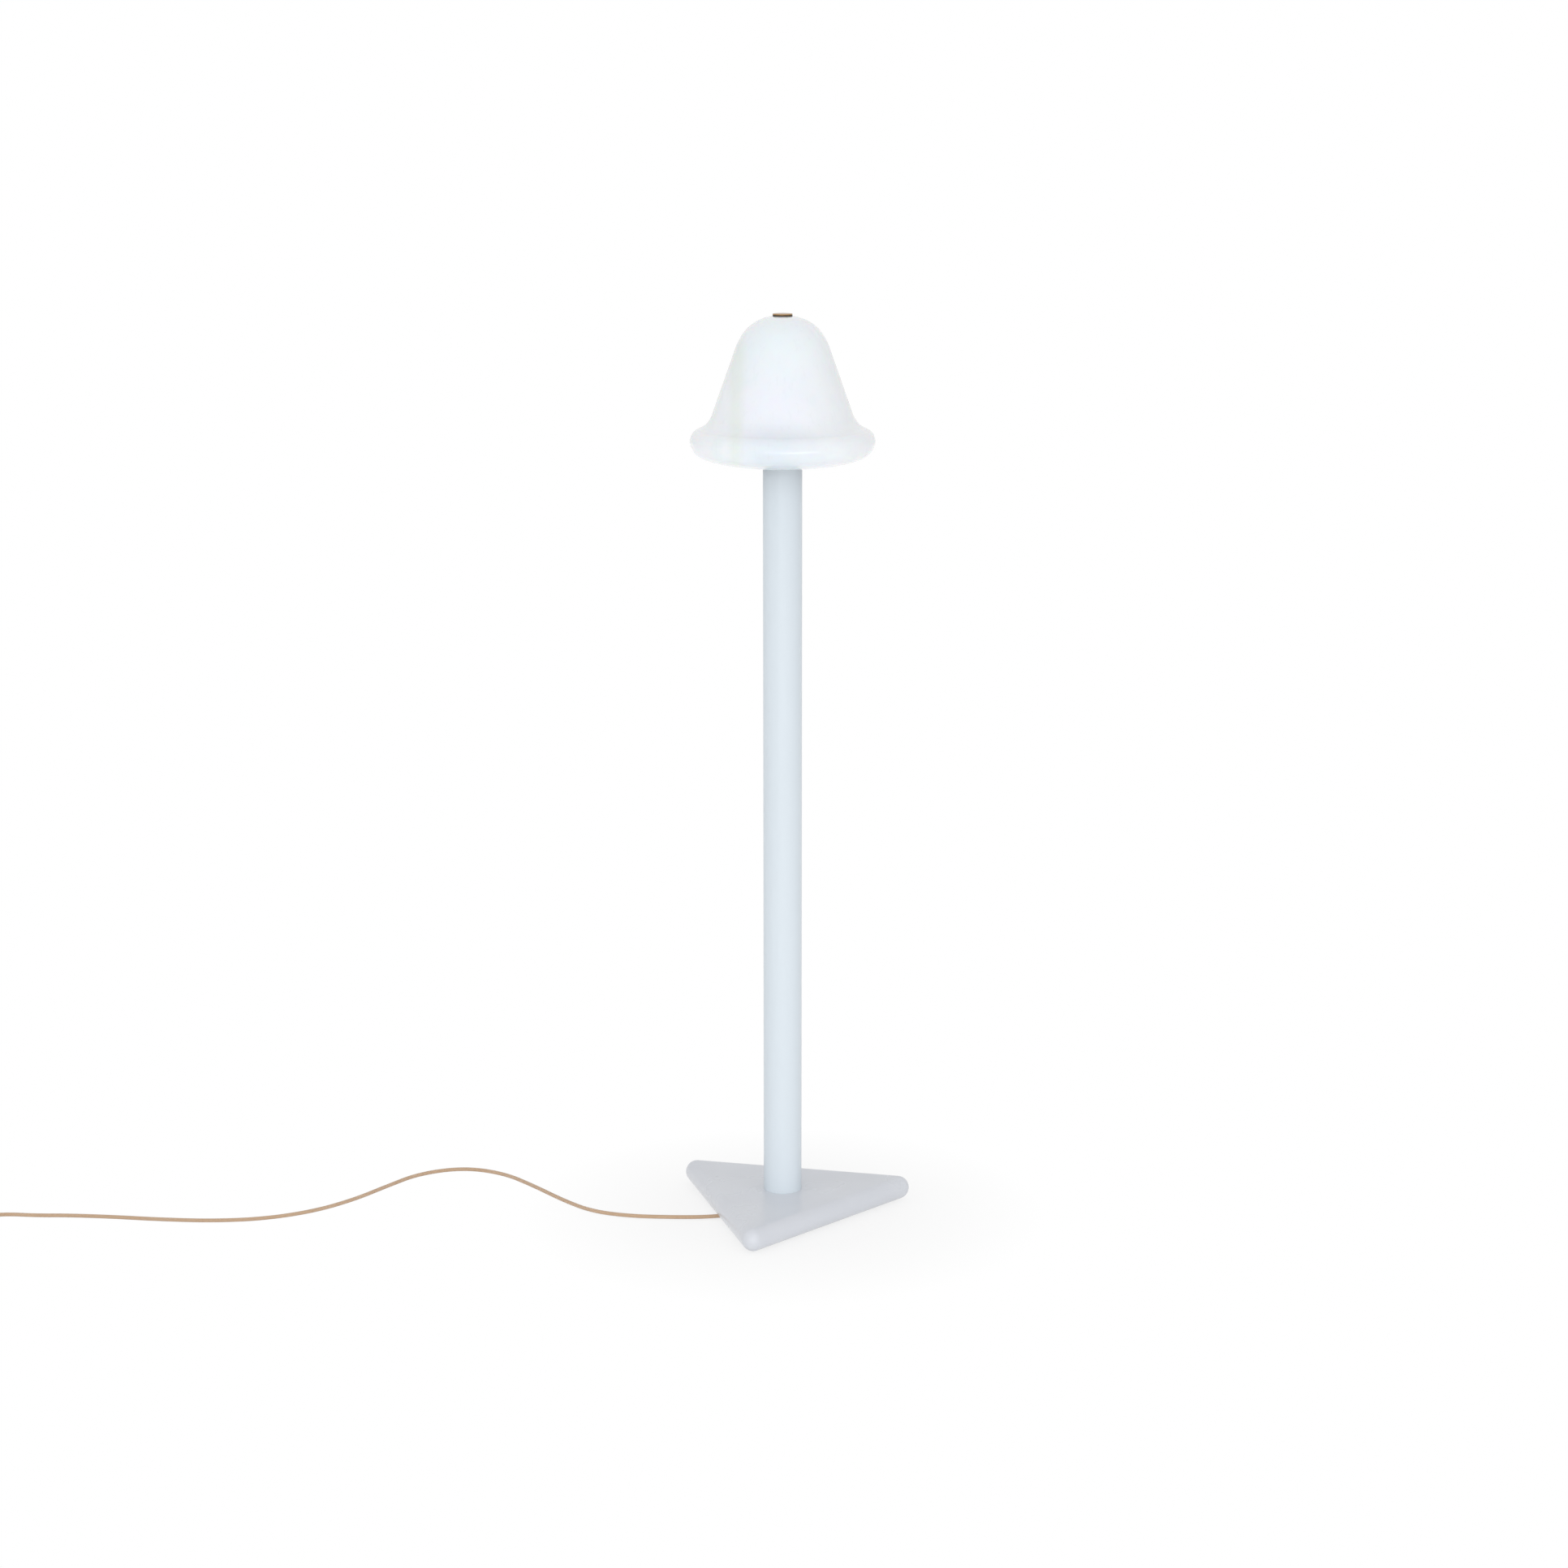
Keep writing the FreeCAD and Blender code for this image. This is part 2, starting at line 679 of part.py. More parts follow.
# route of the cord on the floor: chosen points, foot to switch
CORD_ROUTE = [
    (-68.6, -56.6, 6.2), (-104.0, -67.4, 3.4), (-160.0, -80.5, 3.0), (-228.0, -91.5, 3.0),
    (-292.0, -84.0, 3.0), (-352.0, -45.0, 3.0), (-421.0, 12.0, 3.0), (-487.0, 59.0, 3.0),
    (-560.0, 70.0, 3.0), (-622.0, 24.0, 3.0), (-652.0, -48.0, 3.0), (-680.0, -120.0, 3.0),
    (-722.0, -187.0, 3.0), (-785.0, -239.0, 3.0), (-862.0, -268.0, 3.0), (-945.0, -281.0, 3.0),
    (-1028.0, -288.0, 3.0), (-1096.0, -298.0, 3.0), (-1143.0, -310.0, 3.0), (-1185.9, -327.8, 8.0),
    (-1225.8, -348.6, 8.0),
]
SWITCH_TO_COIL = [
    (-1252.4, -362.6, 8.0), (-1286.9, -380.7, 8.0), (-1312.8, -382.9, 5.2),
    (-1333.8, -364.5, 3.0), (-1345.9, -341.5, 3.0),
]
COIL_TO_PLUG = [(-1357.9, -318.5, 7.0), (-1366.7, -301.6, 7.0)]

# bush that lines the slot, flush with the rounded edge of the foot
bush_bar = new_body("bush_bar", "outlet_x", "outlet_y", "felt_thickness", turn="outlet_angle")
outline = new_sketch(bush_bar, "XY_Plane")
draw_polygon(outline, [
    ("-bush_length", "-outlet_width / 2"),
    ("bush_length", "-outlet_width / 2"),
    ("bush_length", "outlet_width / 2"),
    ("-bush_length", "outlet_width / 2"),
])
pad(bush_bar, outline, "outlet_height")
slab = triangular_slab("bush_envelope")
flush_bar = boolean("Common", "bush_flush", bush_bar, slab)
cord_start, cord_next = FreeCAD.Vector(*CORD_ROUTE[0]), FreeCAD.Vector(*CORD_ROUTE[1])
bush_bore = solid("Cylinder", "bush_bore", Radius="cord_radius + cord_play", Height="4 * bush_length")
bush_bore.Placement = FreeCAD.Placement(
    cord_start - (cord_next - cord_start) / 2,
    FreeCAD.Rotation(FreeCAD.Vector(0, 0, 1), cord_next - cord_start))
boolean("Cut", "cord_bush", flush_bar, bush_bore)

clamp = new_body("cord_clamp", "clamp_x", "clamp_y", "clamp_bottom", turn="outlet_angle")
outline = new_sketch(clamp, "XY_Plane")
draw_rounded_rectangle(outline, "clamp_width", "clamp_length", "clamp_corner")
pad(clamp, outline, "clamp_height")
passage = new_sketch(clamp, "YZ_Plane")
draw_circle(passage, "cord_radius + cord_play", "0", "cord_run_height - clamp_bottom")
pocket(clamp, passage, "2 * clamp_width").Midplane = True
countersunk_holes(clamp, "clamp_screw_circle", BACK, "0", "clamp_height", count=2)
screw_ring("clamp_screws", "clamp_screw_circle", BACK, "0", "clamp_screw_length", count=2,
           x="clamp_x", y="clamp_y", z="clamp_bottom", turn="outlet_angle")

# ---------------------------------------------------------------- column and tie rod

washer("lower_washer", "ballast_top - washer_thickness")
hexagon_nut("lower_nut", "lower_nut_bottom")
turned("tie_rod", [
    ("rod_bore_radius", "rod_bottom"),
    ("rod_radius", "rod_bottom"),
    ("rod_radius", "rod_top"),
    ("rod_bore_radius", "rod_top"),
])
turned("column", [
    ("column_radius - column_wall", "0"),
    ("column_radius", "0"),
    ("column_radius", "column_length"),
    ("column_radius - column_wall", "column_length"),
], z="base_top")
foot = turned("column_foot", [
    ("rod_radius + rod_play", "0"),
    ("column_radius - column_wall - spigot_play", "0"),
    ("column_radius - column_wall - spigot_play", "foot_height - edge_break"),
    ("column_radius - column_wall - spigot_play - edge_break", "foot_height"),
    ("rod_radius + rod_play", "foot_height"),
], z="base_top")
countersunk_holes(foot, "foot_screw_circle", BACK, "foot_height", "foot_height", upwards=False)
screw_ring("foot_screws", "foot_screw_circle", BACK, "foot_height", "foot_screw_length",
           upwards=False, z="base_top")
turned("column_top_plate", [
    ("rod_radius + rod_play", "-plate_spigot"),
    ("column_radius - column_wall - spigot_play", "-plate_spigot"),
    ("column_radius - column_wall - spigot_play", "0"),
    ("column_radius", "0"),
    ("column_radius", "plate_thickness - edge_break"),
    ("column_radius - edge_break", "plate_thickness"),
    ("rod_radius + rod_play", "plate_thickness"),
], z="column_top")
washer("top_washer", "plate_top")
hexagon_nut("top_nut", "top_nut_bottom")

# ---------------------------------------------------------------- lamp cluster

hub = turned("cluster_hub", [
    ("rod_radius + thread_play", "0"),
    ("hub_radius - edge_break", "0"),
    ("hub_radius", "edge_break"),
    ("hub_radius", "hub_height"),
    ("hub_radius - hub_wall", "hub_height"),
    ("hub_radius - hub_wall", "hub_floor"),
    ("rod_radius + thread_play", "hub_floor"),
], z="hub_bottom")
arm_holes = new_sketch(hub, "YZ_Plane")
draw_circle(arm_holes, "arm_radius + thread_play", "0", "arm_height")
pocket(hub, arm_holes, "3 * hub_radius").Midplane = True
turned("cluster_lid", [
    ("rod_radius + thread_play", "-lid_boss_height"),
    ("lid_boss_radius", "-lid_boss_height"),
    ("lid_boss_radius", "0"),
    ("hub_radius", "0"),
    ("hub_radius", "lid_thickness - edge_break"),
    ("hub_radius - edge_break", "lid_thickness"),
    ("rod_radius + thread_play", "lid_thickness"),
], z="hub_top")
connector = new_body("wire_connector", z="rod_top + hub_grip")
outline = new_sketch(connector, "XY_Plane")
draw_rounded_rectangle(outline, "connector_length", "connector_width", "connector_corner")
pad(connector, outline, "connector_height")


def lamp_side(name, side):
    """One arm, lampholder and bulb; side is 1 on the right and -1 on the left."""
    level, reach = read("arm_level"), side * read("arm_reach")
    wall = side * (read("hub_radius") - read("hub_wall"))
    elbow = [(wall, 0, level), (reach, 0, level), (reach, 0, read("arm_top"))]
    swept_tube("lamp_arm_" + name, elbow, read("arm_radius"), read("arm_bore_radius"), read("arm_bend"))
    plug_end = side * read("connector_length") / 2
    socket_floor = read("holder_top") - read("socket_depth")
    lead = [(plug_end, 0, level), (reach, 0, level), (reach, 0, socket_floor)]
    swept_tube("lamp_lead_" + name, lead, read("lead_radius"), bend=read("arm_bend"))
    across = "%d * arm_reach" % side
    turned("lampholder_" + name, [
        ("arm_radius + thread_play", "0"),
        ("holder_neck_radius", "0"),
        ("holder_neck_radius", "holder_neck_height"),
        ("holder_radius", "holder_neck_height + holder_radius - holder_neck_radius"),
        ("holder_radius", "holder_height - 4 * holder_lip"),
        ("holder_radius + holder_lip", "holder_height - 3 * holder_lip"),
        ("holder_radius + holder_lip", "holder_height"),
        ("bulb_thread_radius + socket_play", "holder_height"),
        ("bulb_thread_radius + socket_play", "holder_height - socket_depth"),
        ("wire_hole_radius", "holder_height - socket_depth"),
        ("wire_hole_radius", "holder_neck_height"),
        ("arm_radius + thread_play", "holder_neck_height"),
    ], x=across, z="holder_bottom")
    turned("bulb_cap_" + name, [
        ("0", "0"),
        ("bulb_contact_radius", "0"),
        ("bulb_contact_radius + edge_break", "bulb_contact_height"),
        ("bulb_skirt_radius", "bulb_skirt_height"),
        ("bulb_thread_radius", "bulb_thread_start"),
        ("bulb_thread_radius", "bulb_thread_length"),
        ("0", "bulb_thread_length"),
    ], x=across, z="holder_top - bulb_thread_length")
    draw_bulb(name, side)


def draw_bulb(name, side):
    """An opal ball bulb: a short flared neck that runs into a hollow globe."""
    globe, flare, neck = read("bulb_radius"), read("bulb_flare_radius"), read("bulb_neck_radius")
    slope = math.acos((neck + flare) / (globe + flare))
    centre = (globe + flare) * math.sin(slope)
    joint = (globe * math.cos(slope), centre - globe * math.sin(slope))
    sketch = doc.addObject("Sketcher::SketchObject", "bulb_outline_" + name)
    sketch.Placement.Rotation = FreeCAD.Rotation(FreeCAD.Vector(1, 0, 0), 90)
    ball = Part.Circle(FreeCAD.Vector(0, centre, 0), FreeCAD.Vector(0, 0, 1), globe)
    hollow = Part.Circle(FreeCAD.Vector(neck + flare, 0, 0), FreeCAD.Vector(0, 0, 1), flare)
    globe_arc = sketch.addGeometry(Part.ArcOfCircle(ball, -slope, math.pi / 2))
    flare_arc = sketch.addGeometry(Part.ArcOfCircle(hollow, math.pi - slope, math.pi))
    sketch.addConstraint(Sketcher.Constraint("Tangent", globe_arc, 1, flare_arc, 1))
    fix(sketch, "Radius", "bulb_radius", globe_arc)
    fix(sketch, "Radius", "bulb_flare_radius", flare_arc)
    fix(sketch, "DistanceX", "0", globe_arc, 3)
    fix(sketch, "DistanceX", "0", globe_arc, 2)
    fix(sketch, "DistanceY", "0", flare_arc, 3)
    fix(sketch, "DistanceX", "bulb_neck_radius", flare_arc, 2)
    fix(sketch, "DistanceY", "0", flare_arc, 2)
    shell = doc.addObject("Part::Offset2D", "bulb_section_" + name)
    shell.Source = sketch
    shell.Mode = "Skin"
    shell.Fill = True
    bind(shell, "Value", "bulb_wall")
    label = "bulb_glass_" + name
    glass = doc.addObject("Part::Revolution", label)
    glass.Label = label
    glass.Source = shell
    glass.Axis = FreeCAD.Vector(0, 0, 1)
    glass.Angle = 360.0
    place(glass, x="%d * arm_reach" % side, z="holder_top")


lamp_side("left", -1)
lamp_side("right", 1)

# ---------------------------------------------------------------- shade suspension

turned("shade_rod", [
    ("0", "0"),
    ("rod_radius", "0"),
    ("rod_radius", "shade_rod_length - rod_bevel"),
    ("rod_radius - rod_bevel", "shade_rod_length"),
    ("0", "shade_rod_length"),
], z="shade_rod_bottom")
hexagon_nut("seat_nut", "seat_bottom - nut_height")
turned("shade_seat", [
    ("rod_radius + thread_play", "0"),
    ("seat_radius - seat_height", "0"),
    ("seat_radius", "seat_height - seat_rim"),
    ("seat_radius", "seat_height"),
    ("rod_radius + thread_play", "seat_height"),
], z="seat_bottom")
gasket_ring = turned("gasket_ring", [
    ("shade_hole_radius", "0"),
    ("seat_radius", "0"),
    ("seat_radius", "seat_drop"),
    ("shade_hole_radius", "seat_drop"),
], z="seat_top")
under_crown = solid("Sphere", "under_crown", Radius="crown_radius - glass_wall - shade_gap")
place(under_crown, z="crown_centre")
boolean("Common", "seat_gasket", gasket_ring, under_crown)

# ---------------------------------------------------------------- glass shade


def shade_joints():
    """Joints and arc centres of the shade's outline, from the crown down.

    Angles are those of the outward normal, from straight up."""
    crown, shoulder, hip = read("crown_radius"), read("shoulder_radius"), read("hip_radius")
    neck, top = read("neck_radius"), read("rim_top_radius")
    side, under = read("rim_side_radius"), read("rim_under_radius")

    def normal(angle):
        return FreeCAD.Vector(math.sin(angle), math.cos(angle), 0)

    crown_middle = FreeCAD.Vector(0, -crown, 0)
    hole = math.asin(read("shade_hole_radius") / crown)
    first = math.asin(read("crown_edge") / crown)
    shoulder_middle = crown_middle + normal(first) * (crown - shoulder)
    second = math.asin((read("shoulder_edge") - shoulder_middle.x) / shoulder)
    hip_middle = shoulder_middle + normal(second) * (shoulder - hip)
    steep = math.radians(90 - read("cone_angle"))
    hip_end = hip_middle + normal(steep) * hip
    run = (read("cone_edge") - hip_end.x) / math.cos(steep)
    cone_end = hip_end + FreeCAD.Vector(math.cos(steep), -math.sin(steep), 0) * run
    neck_middle = cone_end + normal(steep) * neck
    lift = math.asin((neck_middle.x + top - read("rim_radius")) / (neck + top))
    top_middle = neck_middle - normal(lift) * (neck + top)
    widest = top_middle + FreeCAD.Vector(top, 0, 0)
    side_middle = widest - FreeCAD.Vector(side, 0, 0)
    low = math.pi - math.asin((read("rim_side_edge") - side_middle.x) / side)
    under_middle = side_middle + normal(low) * (side - under)
    return [
        (crown_middle, crown, hole, first),
        (shoulder_middle, shoulder, first, second),
        (hip_middle, hip, second, steep),
        (hip_end, cone_end),
        (neck_middle, neck, steep, lift),
        (top_middle, top, lift, math.pi / 2),
        (side_middle, side, math.pi / 2, low),
        (under_middle, under, low, math.pi),
    ]


def draw_shade_outline(sketch):
    """The outline as arcs and one straight flank, each tangent to the next."""
    enter, leave = [], []
    for piece in shade_joints():
        if len(piece) == 2:
            index = sketch.addGeometry(Part.LineSegment(*piece))
            enter.append((index, 1))
            leave.append((index, 2))
            continue
        centre, radius, begin, finish = piece
        circle = Part.Circle(centre, FreeCAD.Vector(0, 0, 1), radius)
        if finish > begin:
            arc = Part.ArcOfCircle(circle, math.pi / 2 - finish, math.pi / 2 - begin)
            ends = (2, 1)
        else:
            arc = Part.ArcOfCircle(circle, 1.5 * math.pi - begin, 1.5 * math.pi - finish)
            ends = (1, 2)
        index = sketch.addGeometry(arc)
        enter.append((index, ends[0]))
        leave.append((index, ends[1]))
    for before, after in zip(leave, enter[1:]):
        sketch.addConstraint(Sketcher.Constraint("Tangent", *before, *after))
    crown, shoulder, hip, flank, neck, rim_top, rim_side, rim_under = (index for index, _ in enter)
    for arc, radius in ((crown, "crown_radius"), (shoulder, "shoulder_radius"), (hip, "hip_radius"),
                        (neck, "neck_radius"), (rim_top, "rim_top_radius"),
                        (rim_side, "rim_side_radius"), (rim_under, "rim_under_radius")):
        fix(sketch, "Radius", radius, arc)
    fix(sketch, "DistanceX", "0", crown, 3)
    fix(sketch, "DistanceY", "-crown_radius", crown, 3)
    fix(sketch, "DistanceX", "shade_hole_radius", *enter[0])
    fix(sketch, "DistanceX", "crown_edge", *leave[0])
    fix(sketch, "DistanceX", "shoulder_edge", *leave[1])
    fix(sketch, "DistanceX", "cone_edge", *leave[3])
    fix(sketch, "DistanceX", "rim_radius", *leave[5])
    fix(sketch, "DistanceX", "rim_side_edge", *leave[6])
    sketch.addConstraint(Sketcher.Constraint("Horizontal", rim_top, 3, *leave[5]))
    sketch.addConstraint(Sketcher.Constraint("Vertical", rim_under, 3, *leave[7]))
    fix(sketch, "Angle", "cone_angle - 90", flank)


shade_outline = doc.addObject("Sketcher::SketchObject", "shade_outline")
draw_shade_outline(shade_outline)
shade_outline.Placement.Rotation = FreeCAD.Rotation(FreeCAD.Vector(1, 0, 0), 90)
place(shade_outline, z="shade_apex")
shade_wall = doc.addObject("Part::Offset2D", "shade_wall")
shade_wall.Source = shade_outline
shade_wall.Mode = "Skin"
shade_wall.Fill = True
bind(shade_wall, "Value", "glass_wall")
blown = doc.addObject("Part::Revolution", "shade_blown")
blown.Source = shade_wall
blown.Axis = FreeCAD.Vector(0, 0, 1)
blown.Angle = 360.0
doc.recompute()


def is_lip(edge):
    """Whether an edge is one of the two level circles at the shade's mouth."""
    low = edge.BoundBox.ZMax < blown.Shape.BoundBox.ZMin + read("glass_wall") + NEARLY
    inner = edge.BoundBox.XMax < read("rim_side_edge") - read("lip_round")
    return is_level(edge) and low and inner


shade = doc.addObject("Part::Fillet", "shade")
shade.Base = blown
shade.Edges = [
    (i, read("lip_round"), read("lip_round"))
    for i, edge in enumerate(blown.Shape.Edges, start=1) if is_lip(edge)]
shade.Label = "shade"

# ---------------------------------------------------------------- brass cap nut

washer_ring = turned("washer_ring", [
    ("shade_hole_radius", "-seat_drop"),
    ("cap_radius", "-seat_drop"),
    ("cap_radius", "0"),
    ("shade_hole_radius", "0"),
], z="cap_bottom")
over_crown = solid("Sphere", "over_crown", Radius="crown_radius + shade_gap")
place(over_crown, z="crown_centre")
boolean("Cut", "cap_washer", washer_ring, over_crown)
cap = turned("shade_cap", [
    ("rod_radius + cap_bore_play", "-cap_hub_length"),
    ("cap_hub_radius", "-cap_hub_length"),
    ("cap_hub_radius", "0"),
    ("cap_radius", "0"),
    ("cap_radius", "cap_thickness"),
    ("0", "cap_thickness"),
    ("0", "shade_rod_top - cap_bottom + cap_crown"),
    ("rod_radius + cap_bore_play", "shade_rod_top - cap_bottom + cap_crown"),
], z="cap_bottom")
round_edges(cap, "cap_edge", lambda edge: is_level(edge)
            and edge.BoundBox.XMax > read("cap_radius") - NEARLY)

# ---------------------------------------------------------------- cord and foot switch

cord_size = read("cord_radius")
slot_end = cord_start + (cord_start - cord_next).normalize() * read("cord_lead_in")
run_height = read("cord_run_height")
inside = [cord_start, slot_end]
for distance in ("clamp_distance - clamp_straight_before", "clamp_distance + clamp_straight_after"):
    x = worth("outlet_x - (%s) * cos(outlet_angle)" % distance)
    y = worth("outlet_y - (%s) * sin(outlet_angle)" % distance)
    inside.append((x, y, run_height))
inside += [(0, 0, run_height), (0, 0, read("rod_top") + read("hub_grip"))]
swept_tube("cord_inside", inside, cord_size, bend=read("inside_bend"))
swept_tube("cord_tube", CORD_ROUTE, cord_size)
swept_tube("cord_tail", SWITCH_TO_COIL, cord_size)
swept_tube("cord_end", COIL_TO_PLUG, cord_size)
turned("cord_coil", [
    ("coil_radius - coil_section / 2", "0"),
    ("coil_radius + coil_section / 2", "0"),
    ("coil_radius + coil_section / 2", "coil_section"),
    ("coil_radius - coil_section / 2", "coil_section"),
], x="coil_x", y="coil_y")


def switch_shell(label, level, height, open_up):
    """One half of the foot switch: a rounded box open towards the other half."""
    body = new_body(label, "switch_x", "switch_y", level, turn="switch_angle")
    outline = new_sketch(body, "XY_Plane")
    draw_rounded_rectangle(outline, "switch_length", "switch_width", "switch_corner")
    pad(body, outline, height)
    closed_face = 0.0 if open_up else worth(height)
    round_edges(body, "switch_foot_round" if open_up else "switch_round",
                lambda edge: is_level(edge) and abs(edge.BoundBox.ZMin - closed_face) < NEARLY)
    room = new_sketch(body, "XY_Plane", rise="switch_wall" if open_up else "0")
    draw_rounded_rectangle(room, "switch_length - 2 * switch_wall", "switch_width - 2 * switch_wall",
                           "switch_corner - switch_wall")
    pocket(body, room, "(%s) - switch_wall" % height)
    boss = new_sketch(body, "XY_Plane")
    draw_circle(boss, "switch_boss_radius", "switch_screw_circle * cos(switch_screw_angle)",
                "switch_screw_circle * sin(switch_screw_angle)")
    pattern_about_z(body, [pad(body, boss, height + ("" if open_up else " - switch_wall"))], 2)
    notch = new_sketch(body, "YZ_Plane")
    draw_circle(notch, "cord_radius + cord_play", "0", height if open_up else "0")
    pocket(body, notch, "2 * switch_length").Midplane = True
    return body


lower = switch_shell("switch_bottom", "0", "switch_split", True)
countersunk_holes(lower, "switch_screw_circle", "switch_screw_angle", "0", "switch_split", count=2)
upper = switch_shell("switch_top", "switch_split", "switch_height - switch_split", False)
opening = new_sketch(upper, "XY_Plane")
draw_circle(opening, "button_radius + button_play")
pocket(upper, opening, "switch_height")
bored_holes(upper, "0", "screw_radius + screw_play", "switch_screw_length - switch_split + screw_play",
            "switch_screw_circle", "switch_screw_angle", count=2)
screw_ring("switch_screws", "switch_screw_circle", "switch_screw_angle", "0", "switch_screw_length",
           count=2, x="switch_x", y="switch_y", turn="switch_angle")
core = new_body("switch_core", "switch_x", "switch_y", "switch_wall", turn="switch_angle")
outline = new_sketch(core, "XY_Plane")
draw_rounded_rectangle(outline, "core_length", "core_width", "core_corner")
pad(core, outline, "core_height")
turned("switch_button", [
    ("0", "0"),
    ("button_radius + button_flange", "0"),
    ("button_radius + button_flange", "button_flange"),
    ("button_radius", "button_flange"),
    ("button_radius", "switch_height - button_bottom + button_rise - button_bevel"),
    ("button_radius - button_bevel", "switch_height - button_bottom + button_rise"),
    ("0", "switch_height - button_bottom + button_rise"),
], x="switch_x", y="switch_y", z="button_bottom")

# ---------------------------------------------------------------- plug

plug = new_body("plug_body", "plug_x", "plug_y", "plug_thickness / 2", turn="plug_angle")
outline = new_sketch(plug, "XY_Plane")
draw_polygon(outline, [
    ("plug_sleeve_length", "-plug_waist / 2"),
    ("plug_sleeve_length + plug_length / 2", "-plug_width / 2"),
    ("plug_sleeve_length + plug_length", "-plug_width / 2"),
    ("plug_sleeve_length + plug_length", "plug_width / 2"),
    ("plug_sleeve_length + plug_length / 2", "plug_width / 2"),
    ("plug_sleeve_length", "plug_waist / 2"),
])
pad(plug, outline, "plug_thickness", both_ways=True)
round_edges(plug, "plug_round", lambda edge: is_level(edge)
            and edge.BoundBox.XMin < read("plug_sleeve_length") + read("plug_length") - NEARLY)
sleeve = new_sketch(plug, "YZ_Plane")
draw_circle(sleeve, "plug_sleeve_radius")
pad(plug, sleeve, "plug_sleeve_length + plug_length / 2")
for side in (1, -1):
    seat = new_sketch(plug, "YZ_Plane", rise="plug_sleeve_length + plug_length")
    draw_circle(seat, "pin_radius", "%d * pin_spacing / 2" % side)
    pocket(plug, seat, "pin_depth", upwards=False)
pins = new_body("plug_pins", "plug_x", "plug_y", "plug_thickness / 2", turn="plug_angle")
for side in (1, -1):
    round_pin = new_sketch(pins, "YZ_Plane", rise="plug_sleeve_length + plug_length - pin_depth")
    draw_circle(round_pin, "pin_radius", "%d * pin_spacing / 2" % side)
    pad(pins, round_pin, "pin_length + pin_depth")

# ---------------------------------------------------------------- check and export

NODES = [
    "base_body", "ballast_plate", "ballast_screws", "base_cover", "cover_screws", "felt_pad",
    "cord_bush", "cord_clamp", "clamp_screws", "cord_inside",
    "lower_washer", "lower_nut", "tie_rod", "column_foot", "foot_screws", "column",
    "column_top_plate", "top_washer", "top_nut",
    "cluster_hub", "cluster_lid", "wire_connector",
    "lamp_arm_left", "lamp_lead_left", "lampholder_left", "bulb_cap_left", "bulb_glass_left",
    "lamp_arm_right", "lamp_lead_right", "lampholder_right", "bulb_cap_right", "bulb_glass_right",
    "shade_rod", "seat_nut", "shade_seat", "seat_gasket", "shade", "cap_washer", "shade_cap",
    "cord_tube", "cord_tail", "cord_coil", "cord_end",
    "switch_bottom", "switch_top", "switch_core", "switch_button", "switch_screws",
    "plug_body", "plug_pins",
]

doc.recompute()
faults = [o.Name for o in doc.Objects if "Invalid" in o.State or "Error" in o.State]
if faults:
    raise RuntimeError("failed objects: %s" % faults)
shapes = {node: doc.getObjectsByLabel(node)[0].Shape for node in NODES}
for node, shape in shapes.items():
    if shape.isNull() or not shape.isValid() or not shape.Solids:
        raise RuntimeError("bad shape: %s" % node)
os.makedirs("parts", exist_ok=True)
for node, shape in shapes.items():
    shape.exportStep("parts/%s.step" % node)
print("%d nodes, %d solids" % (len(shapes), sum(len(shape.Solids) for shape in shapes.values())))
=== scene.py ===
"""Mushroom floor lamp: opal glass bell shade, straight lacquered column, triangular foot."""
import math

import bpy
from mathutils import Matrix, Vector, noise


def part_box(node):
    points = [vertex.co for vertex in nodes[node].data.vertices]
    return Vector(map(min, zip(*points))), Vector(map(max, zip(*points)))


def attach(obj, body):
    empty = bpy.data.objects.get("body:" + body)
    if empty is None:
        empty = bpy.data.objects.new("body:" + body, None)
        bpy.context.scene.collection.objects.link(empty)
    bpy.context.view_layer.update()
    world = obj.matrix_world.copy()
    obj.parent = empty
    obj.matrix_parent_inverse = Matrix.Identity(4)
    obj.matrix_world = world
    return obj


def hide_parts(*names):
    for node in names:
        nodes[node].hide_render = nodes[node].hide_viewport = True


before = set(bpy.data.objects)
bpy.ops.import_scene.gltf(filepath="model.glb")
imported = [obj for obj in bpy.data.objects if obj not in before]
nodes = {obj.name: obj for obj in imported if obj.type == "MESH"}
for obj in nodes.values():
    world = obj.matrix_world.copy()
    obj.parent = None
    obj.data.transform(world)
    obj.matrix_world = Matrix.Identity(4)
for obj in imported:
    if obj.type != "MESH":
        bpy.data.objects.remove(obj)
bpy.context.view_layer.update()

# ---------------------------------------------------------------- camera and room
# A plain white studio: a pale floor that keeps the lamp's soft shadow, white all round,
# and large diffusers in front and above. The camera stands as it did for the photograph.
CAMERA_DISTANCE = 5.0
CAMERA_HEIGHT = 1.7785
CAMERA_AZIMUTH = math.radians(13.604)
CAMERA_PITCH = math.radians(12.214)
CAMERA_YAW = math.radians(0.025)
FOCAL_LENGTH = 75.69

camera = bpy.data.objects.new("camera", bpy.data.cameras.new("camera"))
camera.data.sensor_width = 36.0
camera.data.lens = FOCAL_LENGTH
camera.location = (CAMERA_DISTANCE * math.sin(CAMERA_AZIMUTH),
                   -CAMERA_DISTANCE * math.cos(CAMERA_AZIMUTH), CAMERA_HEIGHT)
camera.rotation_euler = (math.pi / 2 - CAMERA_PITCH, 0.0, CAMERA_AZIMUTH - CAMERA_YAW)
bpy.context.scene.collection.objects.link(camera)
bpy.context.scene.camera = camera
bpy.context.scene.view_settings.view_transform = "Standard"


def tint(red, green, blue):
    """The linear colour of a screen colour given from 0 to 255."""
    def linear(level):
        level /= 255.0
        return level / 12.92 if level <= 0.04045 else ((level + 0.055) / 1.055) ** 2.4
    return (linear(red), linear(green), linear(blue), 1.0)


